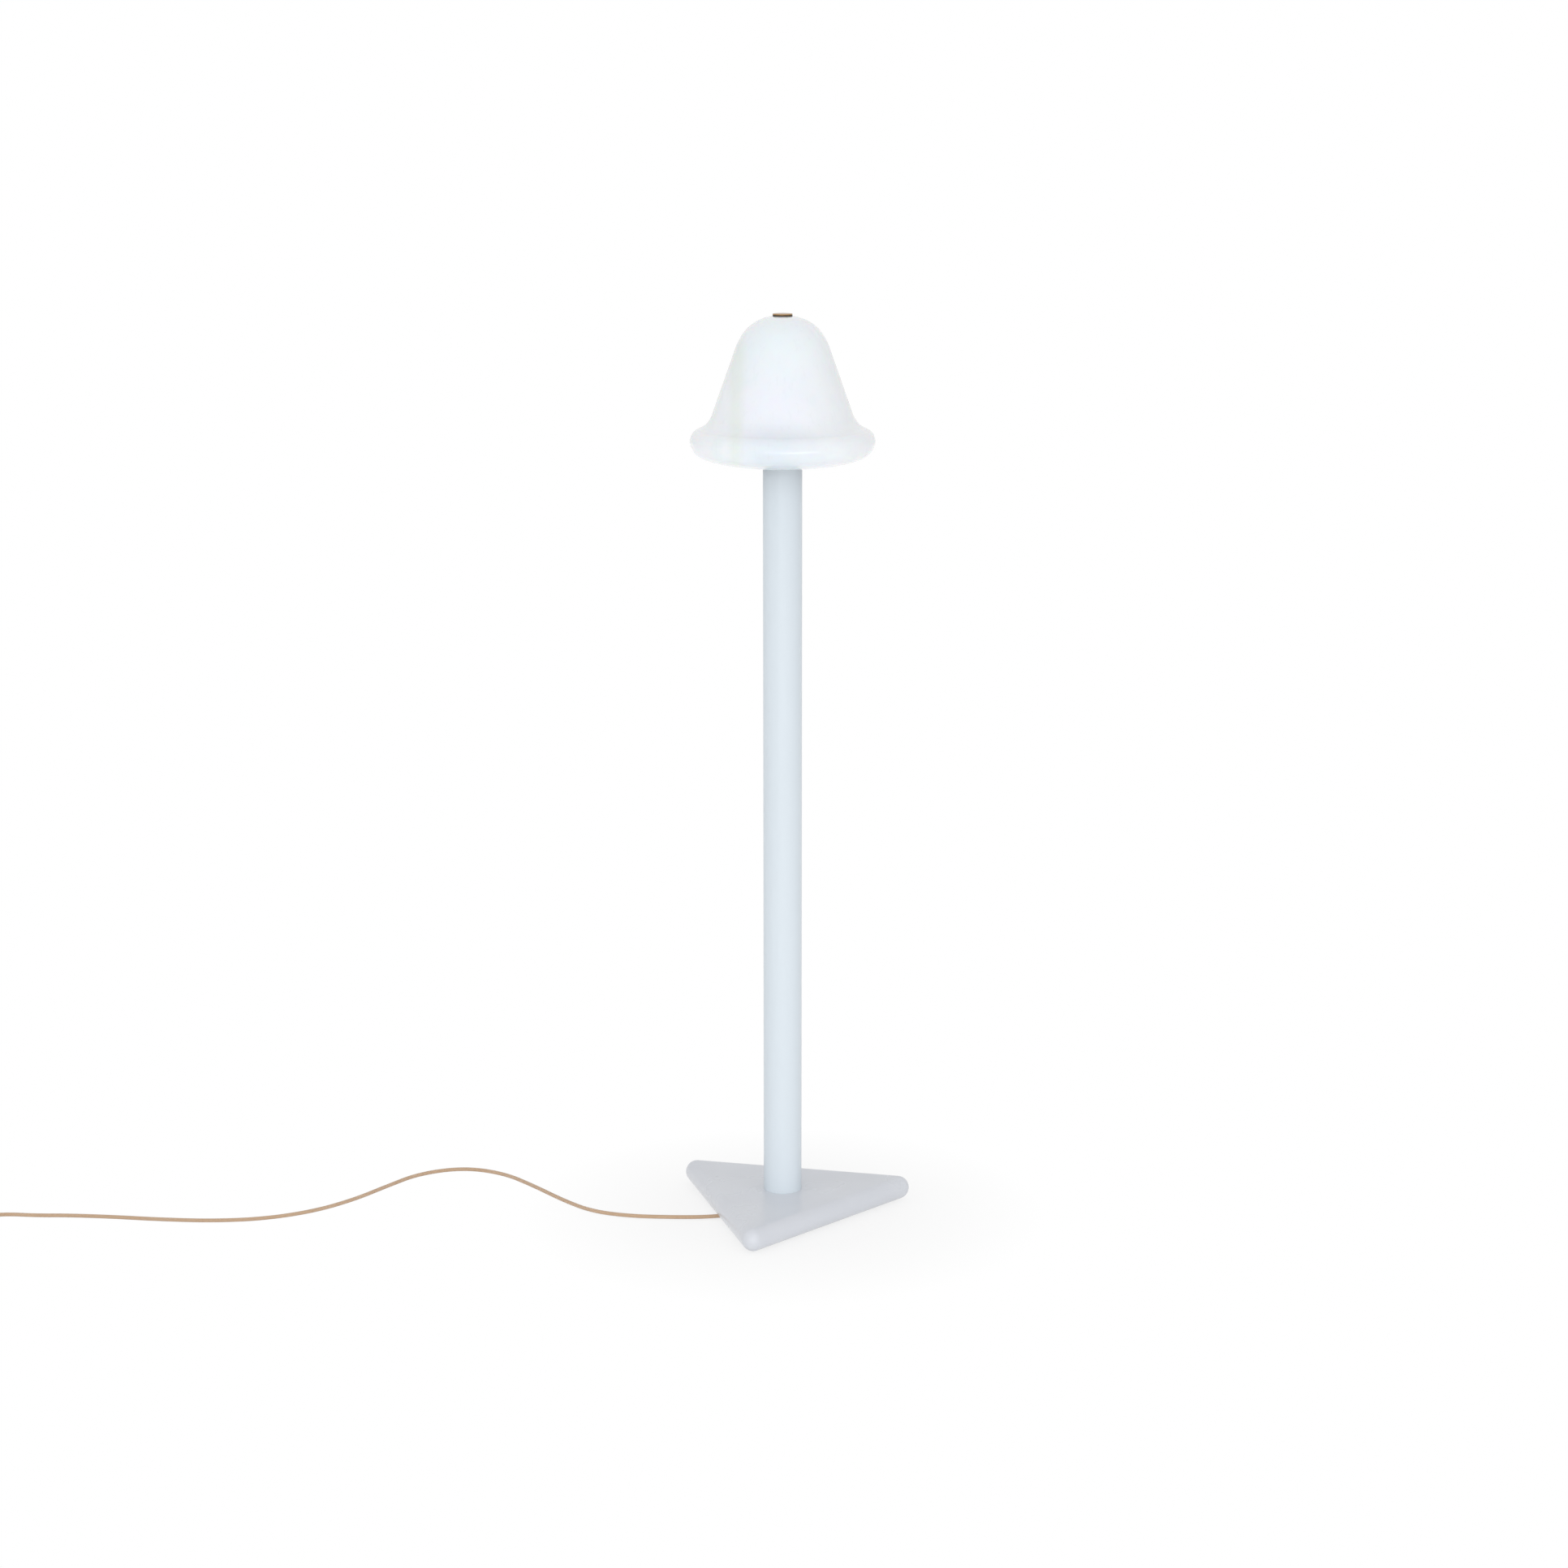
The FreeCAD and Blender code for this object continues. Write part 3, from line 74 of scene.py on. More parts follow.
class Wire:
    """One output of a node; arithmetic on it adds Math nodes to the same tree."""

    def __init__(self, wiring, socket):
        self.wiring, self.socket = wiring, socket

    def math(self, operation, first, second=0.0):
        return self.wiring.node("ShaderNodeMath", {"operation": operation}, {0: first, 1: second})

    def __add__(self, other):
        return self.math("ADD", self, other)

    __radd__ = __add__

    def __mul__(self, other):
        return self.math("MULTIPLY", self, other)

    __rmul__ = __mul__

    def __sub__(self, other):
        return self.math("SUBTRACT", self, other)

    def __rsub__(self, other):
        return self.math("SUBTRACT", other, self)

    def __abs__(self):
        return self.math("ABSOLUTE", self)

    def sine(self):
        return self.math("SINE", self)

    def larger(self, other):
        return self.math("MAXIMUM", self, other)


class Wiring:
    """A node tree, with one method that adds any node."""

    def __init__(self, tree):
        self.tree = tree

    def node(self, kind, settings, sockets, output=0):
        made = self.tree.nodes.new(kind)
        for name, value in settings.items():
            if name == "stops":
                ramp = made.color_ramp.elements
                while len(ramp) < len(value):
                    ramp.new(0.5)
                for stop, (place, colour) in zip(ramp, value):
                    stop.position, stop.color = place, colour
            else:
                setattr(made, name, value)
        for name, value in sockets.items():
            self.feed(made.inputs[name], value)
        return Wire(self, made.outputs[output])

    def feed(self, socket, value):
        if isinstance(value, Wire):
            self.tree.links.new(value.socket, socket)
        else:
            socket.default_value = value

    def place(self, output="Object"):
        return self.node("ShaderNodeTexCoord", {}, {}, output)

    def stretched(self, across, up):
        """The object's own place in metres, scaled apart across and up."""
        return self.node("ShaderNodeMapping", {}, {"Vector": self.place(), "Scale": (across, across, up)})

    def along(self, direction, output="Object"):
        """How far the place, or the world's direction, reaches along a fixed direction."""
        sockets = {0: self.place(output), 1: direction}
        return self.node("ShaderNodeVectorMath", {"operation": "DOT_PRODUCT"}, sockets, "Value")

    def away(self, spot):
        """The distance from a fixed spot in metres."""
        sockets = {0: self.place(), 1: spot}
        return self.node("ShaderNodeVectorMath", {"operation": "DISTANCE"}, sockets, "Value")

    def grain(self, where, scale, detail=2.0, roughness=0.5):
        sockets = {"Vector": where, "Scale": scale, "Detail": detail, "Roughness": roughness}
        return self.node("ShaderNodeTexNoise", {}, sockets)

    def mixed(self, mask, first, second, way="MIX"):
        settings = {"data_type": "RGBA", "blend_type": way}
        return self.node("ShaderNodeMix", settings, {0: mask, 6: first, 7: second}, 2)

    def between(self, value, low, high):
        """0 at low, 1 at high and even in between."""
        sockets = {"Value": value, "From Min": low, "From Max": high}
        return self.node("ShaderNodeMapRange", {"clamp": True}, sockets)


class Finish(Wiring):
    """A material with its main shader."""

    def __init__(self, name, **sockets):
        self.material = bpy.data.materials.new(name)
        self.material.use_nodes = True
        super().__init__(self.material.node_tree)
        self.shader = self.tree.nodes["Principled BSDF"]
        self.set(**sockets)

    def set(self, **sockets):
        """Feeds the main shader; a socket's name is written with underscores."""
        for name, value in sockets.items():
            self.feed(self.shader.inputs[name.replace("_", " ").title().replace("Ior", "IOR")], value)

    def relief(self, height, depth):
        """Bumps the surface; depth in metres is how high a height of 1 stands."""
        bump = self.node("ShaderNodeBump", {}, {"Height": height, "Distance": depth, "Strength": 1.0})
        self.set(normal=bump)


def dress(finish, *names):
    """Gives CAD nodes a finish in place of their plain one."""
    for name in names:
        mesh = nodes[name].data
        mesh.materials.clear()
        mesh.materials.append(finish.material)


def new_piece(name, vertices, faces, finish, smooth=True):
    mesh = bpy.data.meshes.new(name)
    mesh.from_pydata(vertices, [], faces)
    mesh.materials.append(finish.material)
    if smooth:
        mesh.shade_smooth()
    piece = bpy.data.objects.new(name, mesh)
    bpy.context.scene.collection.objects.link(piece)
    return piece


FLOOR_HALF = 9.0
SHADOW_REACH, SHADOW_END = 0.17, 0.42
SHADOW_SHARE = 0.22
room = Finish("studio_floor", base_color=(0.88, 0.88, 0.88, 1.0), roughness=0.9, specular_ior_level=0.1)
seen = room.node("ShaderNodeLightPath", {}, {}, "Is Camera Ray")
shiny = room.node("ShaderNodeLightPath", {}, {}, "Is Glossy Ray")
far = room.between(room.away((0.0, 0.0, 0.0)), SHADOW_REACH, SHADOW_END)
white = room.node("ShaderNodeEmission", {}, {"Color": (1, 1, 1, 1), "Strength": 1.0})
glow = seen.larger(shiny) * (1.0 - SHADOW_SHARE + SHADOW_SHARE * far)
lit = room.node("ShaderNodeMixShader", {}, {0: glow, 1: Wire(room, room.shader.outputs[0]), 2: white})
room.tree.links.new(lit.socket, room.tree.nodes["Material Output"].inputs["Surface"])
corners = [(-FLOOR_HALF, -FLOOR_HALF, 0), (FLOOR_HALF, -FLOOR_HALF, 0),
           (FLOOR_HALF, FLOOR_HALF, 0), (-FLOOR_HALF, FLOOR_HALF, 0)]
floor = new_piece("studio_floor", corners, [(0, 1, 2, 3)], room, smooth=False)
floor.location.z = -0.0005

# The room is white where the camera looks, and its gloss fades from the open front to the
# sides and back, which shades the edges of round forms.
WORLD_LIGHT, SIDE_LOSS, GLOSS_BEHIND = 0.72, 0.12, 0.88
TO_THE_RIGHT = (math.cos(CAMERA_AZIMUTH), math.sin(CAMERA_AZIMUTH), 0.0)
TO_THE_FRONT = (math.sin(CAMERA_AZIMUTH), -math.cos(CAMERA_AZIMUTH), 0.0)
world = bpy.data.worlds.new("white_room")
bpy.context.scene.world = world
world.use_nodes = True
air = Wiring(world.node_tree)
seen = air.node("ShaderNodeLightPath", {}, {}, "Is Camera Ray")
shiny = air.node("ShaderNodeLightPath", {}, {}, "Is Glossy Ray")
aside = air.between(abs(air.along(TO_THE_RIGHT, "Generated")), 0.55, 0.9)
diffuse_level = WORLD_LIGHT * (1.0 - SIDE_LOSS * aside)
open_front = air.between(air.along(TO_THE_FRONT, "Generated"), 0.0, 0.6)
glossy_level = GLOSS_BEHIND + (1.0 - GLOSS_BEHIND) * open_front
level = diffuse_level + shiny * (glossy_level - diffuse_level)
backdrop = air.tree.nodes["Background"]
backdrop.inputs["Color"].default_value = (1.0, 1.0, 1.0, 1.0)
air.feed(backdrop.inputs["Strength"], seen.larger(level))


def diffuser(name, place, aim, width, height, power, mirrored=False):
    """A large flat softbox that faces a point; its own image shows in gloss only if mirrored."""
    lamp = bpy.data.lights.new(name, "AREA")
    lamp.shape, lamp.size, lamp.size_y, lamp.energy = "RECTANGLE", width, height, power
    box = bpy.data.objects.new(name, lamp)
    box.location = place
    box.rotation_euler = (Vector(aim) - Vector(place)).to_track_quat("-Z", "Y").to_euler()
    box.visible_glossy, box.visible_camera = mirrored, False
    bpy.context.scene.collection.objects.link(box)


diffuser("front_diffuser", (0.5, -3.8, 1.3), (0, 0, 0.7), 1.4, 2.4, 22.0)
diffuser("left_diffuser", (-3.2, -2.4, 2.2), (0, 0, 0.9), 1.2, 2.2, 12.0)
diffuser("right_diffuser", (3.4, -1.2, 2.0), (0, 0, 0.9), 1.2, 2.2, 6.5)
diffuser("top_diffuser", (0.0, 0.2, 3.4), (0, 0, 0.0), 2.4, 2.0, 7.5)
diffuser("low_diffuser", (0.45, -1.4, 0.07), (0, 0, 0.05), 0.7, 0.12, 1.9)
diffuser("floor_strip", (1.45, -3.15, 0.12), (0, 0, 1.17), 4.8, 0.26, 14.0, mirrored=True)

# ---------------------------------------------------------------- foot
# A fibreboard triangle with full-round edges and ball corners, sprayed with satin
# blue-grey white lacquer; a steel ballast plate, a cover and a felt pad are fixed below.
FOOT_TINT = tint(214, 217, 223)
foot_lacquer = Finish("foot_lacquer", specular_ior_level=0.45, coat_weight=0.35, coat_roughness=0.16)
spray = foot_lacquer.grain(foot_lacquer.place(), 2600.0, 2.0)
cloudy = foot_lacquer.grain(foot_lacquer.place(), 9.0, 3.0)
foot_lacquer.set(
    base_color=foot_lacquer.mixed(foot_lacquer.between(cloudy, 0.35, 0.65), FOOT_TINT, tint(210, 213, 220)),
    roughness=0.24 + 0.08 * cloudy)
foot_lacquer.relief(spray, 0.000004)

FOOT_SIDE, FOOT_THICKNESS, FOOT_BOTTOM = 0.334, 0.0365, 0.0015
FIRST_SIDE, THIRD = -150, 120
FAN_STEPS, EDGE_STEPS, CUT_FAN_STEPS = 32, 40, 12
COVER_INRADIUS, COVER_CORNER, COVER_TOP = 0.0784, 0.008, 0.0035
POCKET_INRADIUS, POCKET_CORNER, POCKET_TOP = 0.072, 0.030, 0.031
SLOT_CENTRE, SLOT_ANGLE = Vector((-0.0896, -0.0630)), math.radians(197.0)
SLOT_HALF_LENGTH, SLOT_HALF_WIDTH, SLOT_TOP = 0.040, 0.0045, 0.011
ROD_BORE, BORE_TURNS = 0.0053, 48
OVERCUT = 0.002
CREASE = math.radians(30.0)


def three_corners(reach):
    """The corners of an equilateral triangle by its inner radius, one corner to the front."""
    return [(0.0, -2 * reach), (math.sqrt(3) * reach, reach), (-math.sqrt(3) * reach, reach)]


def fan_angles(corner, steps):
    """The directions round one corner, from one side's normal to the next."""
    return [math.radians(FIRST_SIDE + THIRD * corner + THIRD * i / steps) for i in range(steps + 1)]


def turned_triangle():
    """The flat triangle with half-round edges and a ball at each corner."""
    radius = FOOT_THICKNESS / 2
    vertices, faces, rows = [], [], []
    for corner, (x, y) in enumerate(three_corners(FOOT_SIDE / (2 * math.sqrt(3)))):
        pole = len(vertices)
        vertices += [(x, y, FOOT_BOTTOM + 2 * radius), (x, y, FOOT_BOTTOM)]
        for angle in fan_angles(corner, FAN_STEPS):
            first = len(vertices)
            for j in range(1, EDGE_STEPS):
                tip = math.pi * j / EDGE_STEPS
                reach = radius * math.sin(tip)
                vertices.append((x + reach * math.cos(angle), y + reach * math.sin(angle),
                                 FOOT_BOTTOM + radius + radius * math.cos(tip)))
            rows.append([pole, *range(first, len(vertices)), pole + 1])
    for here, there in zip(rows, rows[1:] + rows[:1]):
        for j in range(EDGE_STEPS):
            ring = (here[j], here[j + 1], there[j + 1], there[j])
            faces.append(tuple(dict.fromkeys(ring)))
    poles = [rows[corner * (FAN_STEPS + 1)] for corner in range(3)]
    faces += [tuple(row[0] for row in poles), tuple(row[-1] for row in reversed(poles))]
    return new_piece("turned_foot", vertices, faces, foot_lacquer)


def prism(outline, low, high):
    """An upright block on an outline of (x, y) points, to cut with."""
    count = len(outline)
    vertices = [(x, y, z) for z in (low, high) for x, y in outline]
    faces = [tuple(reversed(range(count))), tuple(range(count, 2 * count))]
    for i in range(count):
        j = (i + 1) % count
        faces.append((i, j, count + j, count + i))
    return new_piece("cutter", vertices, faces, foot_lacquer, smooth=False)


def rounded_triangle(inradius, corner_radius):
    return [(x + corner_radius * math.cos(angle), y + corner_radius * math.sin(angle))
            for corner, (x, y) in enumerate(three_corners(inradius - corner_radius))
            for angle in fan_angles(corner, CUT_FAN_STEPS)]


def settle(piece):
    """Makes a piece's modifiers part of its mesh."""
    made = bpy.data.meshes.new_from_object(piece.evaluated_get(bpy.context.evaluated_depsgraph_get()))
    piece.modifiers.clear()
    piece.data = made


def carve(piece, cutters):
    """Cuts the blocks out of a piece and keeps its large flat faces flat to the light."""
    for cutter in cutters:
        cut = piece.modifiers.new("cut", "BOOLEAN")
        cut.operation, cut.solver, cut.object = "DIFFERENCE", "EXACT", cutter
    settle(piece)
    for cutter in cutters:
        bpy.data.objects.remove(cutter)
    piece.data.set_sharp_from_angle(angle=CREASE)
    piece.modifiers.new("even", "WEIGHTED_NORMAL").keep_sharp = True
    settle(piece)


slot_ahead = Vector((math.cos(SLOT_ANGLE), math.sin(SLOT_ANGLE))) * SLOT_HALF_LENGTH
slot_aside = Vector((-math.sin(SLOT_ANGLE), math.cos(SLOT_ANGLE))) * SLOT_HALF_WIDTH
slot_outline = [tuple(SLOT_CENTRE + a * slot_ahead + b * slot_aside)
                for a, b in ((-1, -1), (1, -1), (1, 1), (-1, 1))]
bore_turns = [2 * math.pi * i / BORE_TURNS for i in range(BORE_TURNS)]
bore_outline = [(ROD_BORE * math.cos(turn), ROD_BORE * math.sin(turn)) for turn in bore_turns]
foot = turned_triangle()
carve(foot, [
    prism(rounded_triangle(COVER_INRADIUS, COVER_CORNER), FOOT_BOTTOM - OVERCUT, COVER_TOP),
    prism(rounded_triangle(POCKET_INRADIUS, POCKET_CORNER), FOOT_BOTTOM - OVERCUT, POCKET_TOP),
    prism(slot_outline, FOOT_BOTTOM - OVERCUT, SLOT_TOP),
    prism(bore_outline, POCKET_TOP - OVERCUT, FOOT_BOTTOM + FOOT_THICKNESS + OVERCUT)])
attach(foot, "frame")
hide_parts("base_body")

zinc = Finish("zinc_plated_steel", base_color=tint(196, 197, 198), metallic=1.0)
streak = zinc.grain(zinc.stretched(240.0, 30.0), 1.0, 4.0)
zinc.set(roughness=0.26 + 0.2 * streak)
zinc.relief(streak, 0.00002)
dress(zinc, "ballast_plate", "ballast_screws", "cover_screws", "clamp_screws", "foot_screws", "column_foot",
      "lower_washer", "lower_nut", "tie_rod", "top_washer", "top_nut", "shade_rod", "seat_nut", "shade_seat",
      "switch_screws")

primer = Finish("primed_sheet", roughness=0.55)
speckle = primer.grain(primer.place(), 900.0, 3.0)
primer.set(base_color=primer.mixed(speckle, tint(120, 122, 124), tint(142, 144, 146)))
primer.relief(speckle, 0.00005)
dress(primer, "base_cover")

felt = Finish("pressed_felt", roughness=0.95, sheen_weight=0.4, sheen_roughness=0.5)
fibre = felt.grain(felt.place(), 700.0, 6.0, 0.7)
felt.set(base_color=felt.mixed(fibre, tint(176, 175, 170), tint(214, 212, 206)))
felt.relief(fibre, 0.0006)
dress(felt, "felt_pad")

pale_plastic = Finish("pale_plastic", roughness=0.42)
mottle = pale_plastic.grain(pale_plastic.place(), 400.0, 2.0)
pale_plastic.set(base_color=pale_plastic.mixed(mottle, tint(226, 224, 217), tint(234, 232, 226)))
pale_plastic.relief(mottle, 0.00003)
dress(pale_plastic, "cord_bush", "cord_clamp", "wire_connector", "switch_core")

# ---------------------------------------------------------------- column
# A round drawn tube of 60 mm with a closing plate on top, lacquered in one satin coat
# like the foot but a touch cooler; the hollow tie rod inside clamps it to the foot.
column_lacquer = Finish("column_lacquer", specular_ior_level=0.3, coat_weight=0.15, coat_roughness=0.3)
drift = column_lacquer.grain(column_lacquer.stretched(14.0, 2.0), 1.0, 2.0)
peel = column_lacquer.grain(column_lacquer.place(), 1800.0, 2.0)
column_lacquer.set(
    base_color=column_lacquer.mixed(drift, tint(214, 223, 230), tint(219, 228, 235)),
    roughness=0.34 + 0.1 * drift)
column_lacquer.relief(peel, 0.00002)
dress(column_lacquer, "column", "column_top_plate")

# ---------------------------------------------------------------- two-lamp cluster
# White enamelled hub with a screwed lid; two bent tubes carry small screw lampholders
# with frosted globe bulbs, wired through the tubes from a connector in the hub.
enamel = Finish("white_enamel", coat_weight=0.4, coat_roughness=0.1)
film = enamel.grain(enamel.place(), 120.0, 2.0)
enamel.set(
    base_color=enamel.mixed(film, tint(232, 233, 233), tint(240, 241, 241)),
    roughness=0.24 + 0.1 * film)
dress(enamel, "cluster_hub", "cluster_lid", "lamp_arm_left", "lamp_arm_right")

holder_plastic = Finish("holder_plastic", roughness=0.38)
shade_of_white = holder_plastic.grain(holder_plastic.place(), 300.0, 2.0)
holder_plastic.set(base_color=holder_plastic.mixed(shade_of_white, tint(234, 233, 228), tint(241, 240, 236)))
dress(holder_plastic, "lampholder_left", "lampholder_right")

lead_sleeve = Finish("lead_sleeve", roughness=0.4)
scuff = lead_sleeve.grain(lead_sleeve.place(), 500.0, 3.0)
lead_sleeve.set(base_color=lead_sleeve.mixed(scuff, tint(224, 224, 222), tint(238, 238, 236)))
dress(lead_sleeve, "lamp_lead_left", "lamp_lead_right")

nickel = Finish("nickel_plate", base_color=tint(214, 208, 198), metallic=1.0)
rub = nickel.grain(nickel.place(), 600.0, 3.0)
nickel.set(roughness=0.2 + 0.2 * rub)
dress(nickel, "bulb_cap_left", "bulb_cap_right", "plug_pins")

bulb_white = Finish("frosted_bulb", subsurface_weight=0.3, subsurface_scale=0.004)
frost = bulb_white.grain(bulb_white.place(), 900.0, 2.0)
bulb_white.set(base_color=bulb_white.mixed(frost, tint(240, 240, 237), tint(247, 247, 245)),
               roughness=0.3 + 0.15 * frost)
dress(bulb_white, "bulb_glass_left", "bulb_glass_right")

# ---------------------------------------------------------------- glass shade
# Mouth-blown opal glass, cased clear over white, in one bell: a shallow crown, a straight
# conical flank, a flared neck and a thick rolled rim. It hangs from its crown.
CROWN, CROWN_EDGE = 0.122, 0.0183
SHOULDER, SHOULDER_EDGE = 0.063, 0.0612
HIP, CONE_EDGE = 0.097, 0.1073
CONE_ANGLE = math.radians(19.57)
NECK, RIM_TOP, RIM_SIDE, RIM_UNDER = 0.037, 0.0188, 0.0268, 0.1036
RIM_RADIUS, RIM_SIDE_EDGE = 0.1409, 0.1256
HOLE, WALL = 0.0088, 0.0035
GLASS_TURNS, WAVE_SCALE, WAVE_SHARE = 256, 14.0, 0.0015
LIP_STEPS = 8
SHADE_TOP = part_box("shade")[1][2] + CROWN - math.sqrt(CROWN ** 2 - HOLE ** 2)


def outward(angle):
    """The direction that stands at an angle from straight up, as (radius, height)."""
    return Vector((math.sin(angle), math.cos(angle)))


def shade_outline():
    """Arcs (centre, radius, first and last angle) from the crown's hole to the lip."""
    crown = Vector((0.0, -CROWN))
    first = math.asin(CROWN_EDGE / CROWN)
    shoulder = crown + outward(first) * (CROWN - SHOULDER)
    second = math.asin((SHOULDER_EDGE - shoulder.x) / SHOULDER)
    hip = shoulder + outward(second) * (SHOULDER - HIP)
    steep = math.pi / 2 - CONE_ANGLE
    flank = hip + outward(steep) * HIP
    down_flank = Vector((math.cos(steep), -math.sin(steep)))
    flank_end = flank + down_flank * ((CONE_EDGE - flank.x) / math.cos(steep))
    neck = flank_end + outward(steep) * NECK
    lift = math.asin((neck.x + RIM_TOP - RIM_RADIUS) / (NECK + RIM_TOP))
    rim_top = neck - outward(lift) * (NECK + RIM_TOP)
    rim_side = rim_top + Vector((RIM_TOP - RIM_SIDE, 0.0))
    low = math.pi - math.asin((RIM_SIDE_EDGE - rim_side.x) / RIM_SIDE)
    rim_under = rim_side + outward(low) * (RIM_SIDE - RIM_UNDER)
    return [
        (crown, CROWN, math.asin(HOLE / CROWN), first), (shoulder, SHOULDER, first, second),
        (hip, HIP, second, steep), (neck, -NECK, steep, lift), (rim_top, RIM_TOP, lift, math.pi / 2),
        (rim_side, RIM_SIDE, math.pi / 2, low), (rim_under, RIM_UNDER, low, math.pi),
    ]


def shade_section(inset, step=0.0016):
    """Points along the outline, moved in by the inset."""
    points = []
    for centre, radius, begin, finish in shade_outline():
        count = max(2, round(abs(radius * (finish - begin)) / step))
        for i in range(1 if points else 0, count + 1):
            angle = begin + (finish - begin) * i / count
            points.append(centre + outward(angle) * (radius - inset))
    return points


def lathe(name, section, finish, turns, top, wave):
    """A turned piece from a closed section of (radius, height) points below its top."""
    vertices, faces = [], []
    for i in range(turns):
        angle = 2 * math.pi * i / turns
        for radius, height in section:
            spot = Vector((radius * math.cos(angle), radius * math.sin(angle), height))
            swell = 1.0 + wave * noise.noise(spot * WAVE_SCALE)
            vertices.append((spot.x * swell, spot.y * swell, height + top))
    size = len(section)
    for i in range(turns):
        for j in range(size):
            here, there = i * size, (i + 1) % turns * size
            faces.append((here + j, here + (j + 1) % size, there + (j + 1) % size, there + j))
    return new_piece(name, vertices, faces, finish)


def round_lip(outer, inner):
    """Half circles that close the lip and the hole between the two walls."""
    def half(start, finish):
        middle = (start + finish) / 2
        arm = start - middle
        for i in range(1, LIP_STEPS):
            angle = math.pi * i / LIP_STEPS
            side = Vector((arm.y, -arm.x))
            yield middle + arm * math.cos(angle) - side * math.sin(angle)
    return outer + list(half(outer[-1], inner[-1])) + inner[::-1] + list(half(inner[0], outer[0]))


opal = Finish("cased_opal_glass", coat_weight=1.0, coat_roughness=0.04, coat_ior=1.5,
              subsurface_weight=0.25, subsurface_scale=0.006)
veil = opal.grain(opal.stretched(9.0, 2.4), 1.0, 3.0, 0.55)
patch = opal.grain(opal.place(), 7.5, 3.0, 0.6)
pearl = opal.node("ShaderNodeValToRGB", {"stops": [
    (0.36, tint(229, 241, 244)), (0.46, tint(242, 245, 250)), (0.54, tint(244, 246, 253)),
    (0.64, tint(237, 245, 243))]}, {"Fac": 0.5 * veil + 0.5 * patch})

# a cool bloom high on the front, a lavender one lower down, painted shade on the rim's lower front
# below them, and a faint green drawn streak
FRONT_HIGH, FRONT_LOW, FRONT_RIM = (0.0, -0.070, 1.375), (0.005, -0.085, 1.285), (0.02, -0.135, 1.205)
SPOT_REACH, CORE = 0.085, 0.020
STREAK_ASIDE, STREAK_EDGE, STREAK_MIDDLE = -0.070, 0.016, 0.004
ragged = 0.05 * (patch - 0.5)
cool = opal.between(opal.away(FRONT_HIGH) + ragged, SPOT_REACH, CORE)
lavender = opal.between(opal.away(FRONT_LOW) + ragged, SPOT_REACH, CORE)
beside = abs(opal.along(TO_THE_RIGHT) - STREAK_ASIDE) + 0.4 * ragged
streak = opal.between(beside, STREAK_EDGE, STREAK_MIDDLE) * opal.between(opal.along((0, 1, 0)), 0.0, -0.03)
glass = opal.mixed(0.6 * cool, pearl, tint(230, 242, 247))
glass = opal.mixed(0.7 * lavender, glass, tint(238, 240, 252))
# painted shade: the rim's lower front, which turns down, is darkened to a cool grey
rim_painted_shade = opal.between(opal.away(FRONT_RIM) + ragged, SPOT_REACH, CORE)
glass = opal.mixed(0.8 * rim_painted_shade, glass, tint(222, 232, 240))
glass = opal.mixed(0.45 * streak, glass, tint(226, 236, 224))
threads = opal.between(opal.grain(opal.stretched(150.0, 7.0), 1.0, 4.0, 0.6), 0.56, 0.74)
glass = opal.mixed(0.10 * threads, glass, tint(196, 202, 206))
opal.set(base_color=glass, roughness=0.12 + 0.1 * veil)
shade = lathe("glass_shade", round_lip(shade_section(0.0), shade_section(WALL)), opal,
              GLASS_TURNS, SHADE_TOP, WAVE_SHARE)
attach(shade, "shade")
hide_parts("shade")

rubber = Finish("translucent_ring", roughness=0.5)
bloom = rubber.grain(rubber.place(), 300.0, 2.0)
rubber.set(base_color=rubber.mixed(bloom, tint(222, 220, 212), tint(236, 234, 228)))
dress(rubber, "seat_gasket")

# ---------------------------------------------------------------- brass cap nut
# A small turned brass disc with a rounded rim, on a dark fibre ring; its colour is darkened as a painted
# reflection of dark surroundings. Its hub screws down the suspension rod and holds the shade on its seat.
# painted reflection: the brass colour is kept dark to stand in for dark reflections on its edge
brass = Finish("polished_brass", base_color=tint(178, 142, 98), metallic=1.0)
turning = brass.grain(brass.stretched(40.0, 2200.0), 1.0, 2.0)
brass.set(roughness=0.2 + 0.12 * turning)
dress(brass, "shade_cap")

fibre_ring = Finish("dark_fibre_ring", roughness=0.6)
grit = fibre_ring.grain(fibre_ring.place(), 700.0, 3.0)
fibre_ring.set(base_color=fibre_ring.mixed(grit, tint(62, 48, 36), tint(86, 68, 52)))
dress(fibre_ring, "cap_washer")

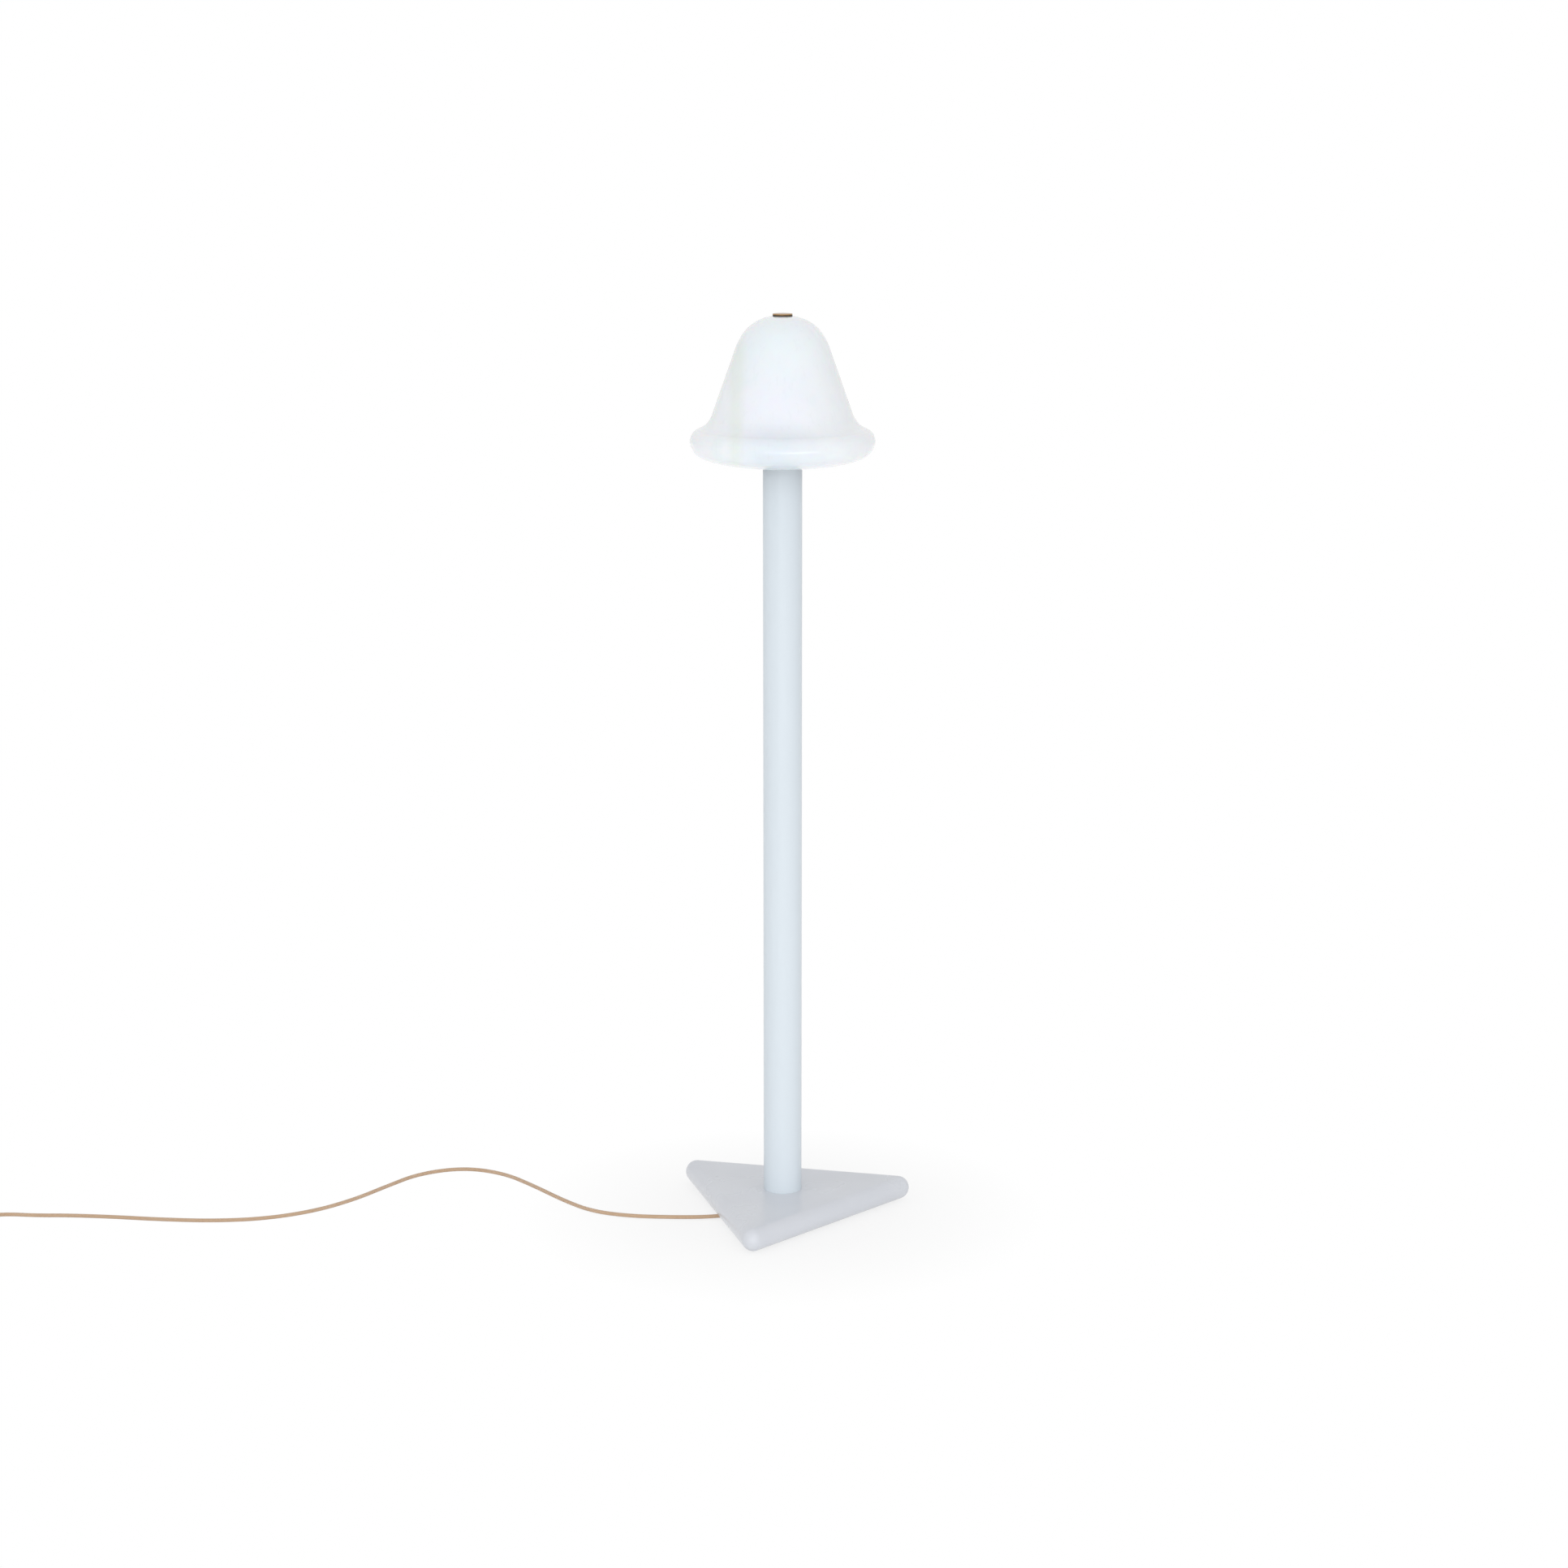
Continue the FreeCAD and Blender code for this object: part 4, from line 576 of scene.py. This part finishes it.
# ---------------------------------------------------------------- textile cord
# Round two-core cord in a woven copper-coloured sleeve. It leaves through a bush under
# the foot, wanders over the floor to a foot switch, and the spare length is wound up.
CORD_RADIUS = 0.003
ROUTE = [
    (-0.0686, -0.0566, 0.0062), (-0.1040, -0.0674, 0.0034), (-0.1600, -0.0805, 0.0030),
    (-0.2280, -0.0915, 0.0030), (-0.2920, -0.0840, 0.0030), (-0.3520, -0.0450, 0.0030),
    (-0.4210, 0.0120, 0.0030), (-0.4870, 0.0590, 0.0030), (-0.5600, 0.0700, 0.0030),
    (-0.6220, 0.0240, 0.0030), (-0.6520, -0.0480, 0.0030), (-0.6800, -0.1200, 0.0030),
    (-0.7220, -0.1870, 0.0030), (-0.7850, -0.2390, 0.0030), (-0.8620, -0.2680, 0.0030),
    (-0.9450, -0.2810, 0.0030), (-1.0280, -0.2880, 0.0030), (-1.0960, -0.2980, 0.0030),
    (-1.1430, -0.3100, 0.0030), (-1.1859, -0.3278, 0.0080), (-1.2258, -0.3486, 0.0080),
    (-1.2524, -0.3626, 0.0080), (-1.2869, -0.3807, 0.0080), (-1.3128, -0.3829, 0.0052),
    (-1.3338, -0.3645, 0.0030), (-1.3459, -0.3415, 0.0030),
]
COIL_CENTRE = Vector((-1.3231, -0.3116, 0.0))
COIL_START = math.radians(207.64)
COIL_LAYERS = [(0.037, 0.0030), (0.031, 0.0030), (0.034, 0.0082)]
COIL_POINTS, LEAD_IN_POINTS, FIRST_REACH = 16, 5, 0.034
INTO_PLUG = [(-1.3579, -0.3185, 0.0088), (-1.3667, -0.3016, 0.0070)]


def coil_points():
    """Three turns side by side and on top; the points lie outside the line that they draw."""
    points = []
    outside = 1 / math.cos(math.pi / COIL_POINTS)
    for turn, (radius, height) in enumerate(COIL_LAYERS):
        before = COIL_LAYERS[turn - 1] if turn else (FIRST_REACH, height)
        for i in range(COIL_POINTS):
            share = min(1.0, i / LEAD_IN_POINTS)
            reach = (before[0] + (radius - before[0]) * share) * outside
            lift = before[1] + (height - before[1]) * share
            angle = COIL_START - 2 * math.pi * i / COIL_POINTS
            points.append(COIL_CENTRE + Vector((reach * math.cos(angle), reach * math.sin(angle), lift)))
    return points


def smooth_line(points, steps=14):
    """Points along a spline that has the given control points."""
    curve = bpy.data.curves.new("cord_line", "CURVE")
    curve.dimensions = "3D"
    curve.resolution_u = steps
    spline = curve.splines.new("NURBS")
    spline.points.add(len(points) - 1)
    for point, spot in zip(spline.points, points):
        point.co = (*spot, 1.0)
    spline.order_u = 3
    spline.use_endpoint_u = True
    holder = bpy.data.objects.new("cord_line", curve)
    bpy.context.scene.collection.objects.link(holder)
    mesh = bpy.data.meshes.new_from_object(holder)
    line = [vertex.co.copy() for vertex in mesh.vertices]
    bpy.data.objects.remove(holder)
    return line


def cord_tube(name, line, radius, finish, sides=20):
    """A tube round the line, with a UV map of millimetres along and turns round."""
    vertices, faces, along = [], [], [0.0]
    up = Vector((0, 0, 1))
    for i, spot in enumerate(line):
        ahead = (line[min(i + 1, len(line) - 1)] - line[max(i - 1, 0)]).normalized()
        side = ahead.cross(up).normalized()
        over = side.cross(ahead)
        if i:
            along.append(along[-1] + (spot - line[i - 1]).length)
        for j in range(sides):
            angle = 2 * math.pi * j / sides
            vertices.append(spot + radius * (side * math.cos(angle) + over * math.sin(angle)))
    for i in range(len(line) - 1):
        for j in range(sides):
            k = (j + 1) % sides
            faces.append((i * sides + j, i * sides + k, (i + 1) * sides + k, (i + 1) * sides + j))
    faces.append(tuple(range(sides))[::-1])
    faces.append(tuple((len(line) - 1) * sides + j for j in range(sides)))
    piece = new_piece(name, vertices, faces, finish)
    uv = piece.data.uv_layers.new(name="sleeve").data
    for face in piece.data.polygons[:-2]:
        i, j = divmod(face.index, sides)
        corners = ((i, j), (i, j + 1), (i + 1, j + 1), (i + 1, j))
        for loop, (row, column) in zip(face.loop_indices, corners):
            uv[loop].uv = (along[row] * 1000.0, column / sides)
    return piece, along[-1]


sleeve = Finish("woven_copper_sleeve", sheen_weight=0.35, sheen_roughness=0.4)
lay = sleeve.node("ShaderNodeSeparateXYZ", {}, {"Vector": sleeve.place("UV")}, "X")
turn_share = sleeve.node("ShaderNodeSeparateXYZ", {}, {"Vector": sleeve.place("UV")}, "Y")
STRANDS, PITCH = 12.0, 9.0
round_it, along_it = STRANDS * turn_share, (STRANDS / PITCH) * lay
one_way = (2 * math.pi * (round_it + along_it)).sine()
other_way = (2 * math.pi * (round_it - along_it)).sine()
weave = 0.5 + 0.25 * (one_way + other_way)
fuzz = sleeve.grain(sleeve.place(), 1400.0, 3.0)
wear = sleeve.grain(sleeve.place(), 22.0, 2.0)
thread = sleeve.mixed(sleeve.between(weave, 0.2, 0.8), tint(186, 148, 112), tint(232, 202, 172))
sleeve.set(base_color=sleeve.mixed(0.35 * sleeve.between(wear, 0.4, 0.65), thread, tint(220, 192, 164)),
           roughness=0.55 + 0.2 * fuzz)
sleeve.relief(weave + 0.3 * fuzz, 0.00035)

line = smooth_line([Vector(spot) for spot in ROUTE] + coil_points() + [Vector(spot) for spot in INTO_PLUG])
cord, cord_length = cord_tube("textile_cord", line, CORD_RADIUS, sleeve)
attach(cord, "frame")
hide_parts("cord_tube", "cord_tail", "cord_coil", "cord_end")
dress(sleeve, "cord_inside")

# ---------------------------------------------------------------- foot switch and plug
# Smooth white moulded switch in two screwed halves with a round sprung button, and a
# moulded two-pin plug on the end of the cord.
moulded = Finish("moulded_white", roughness=0.3)
flow = moulded.grain(moulded.place(), 60.0, 3.0)
moulded.set(
    base_color=moulded.mixed(flow, tint(228, 226, 220), tint(236, 234, 229)),
    roughness=0.26 + 0.12 * flow)
dress(moulded, "switch_bottom", "switch_top", "switch_button", "plug_body")
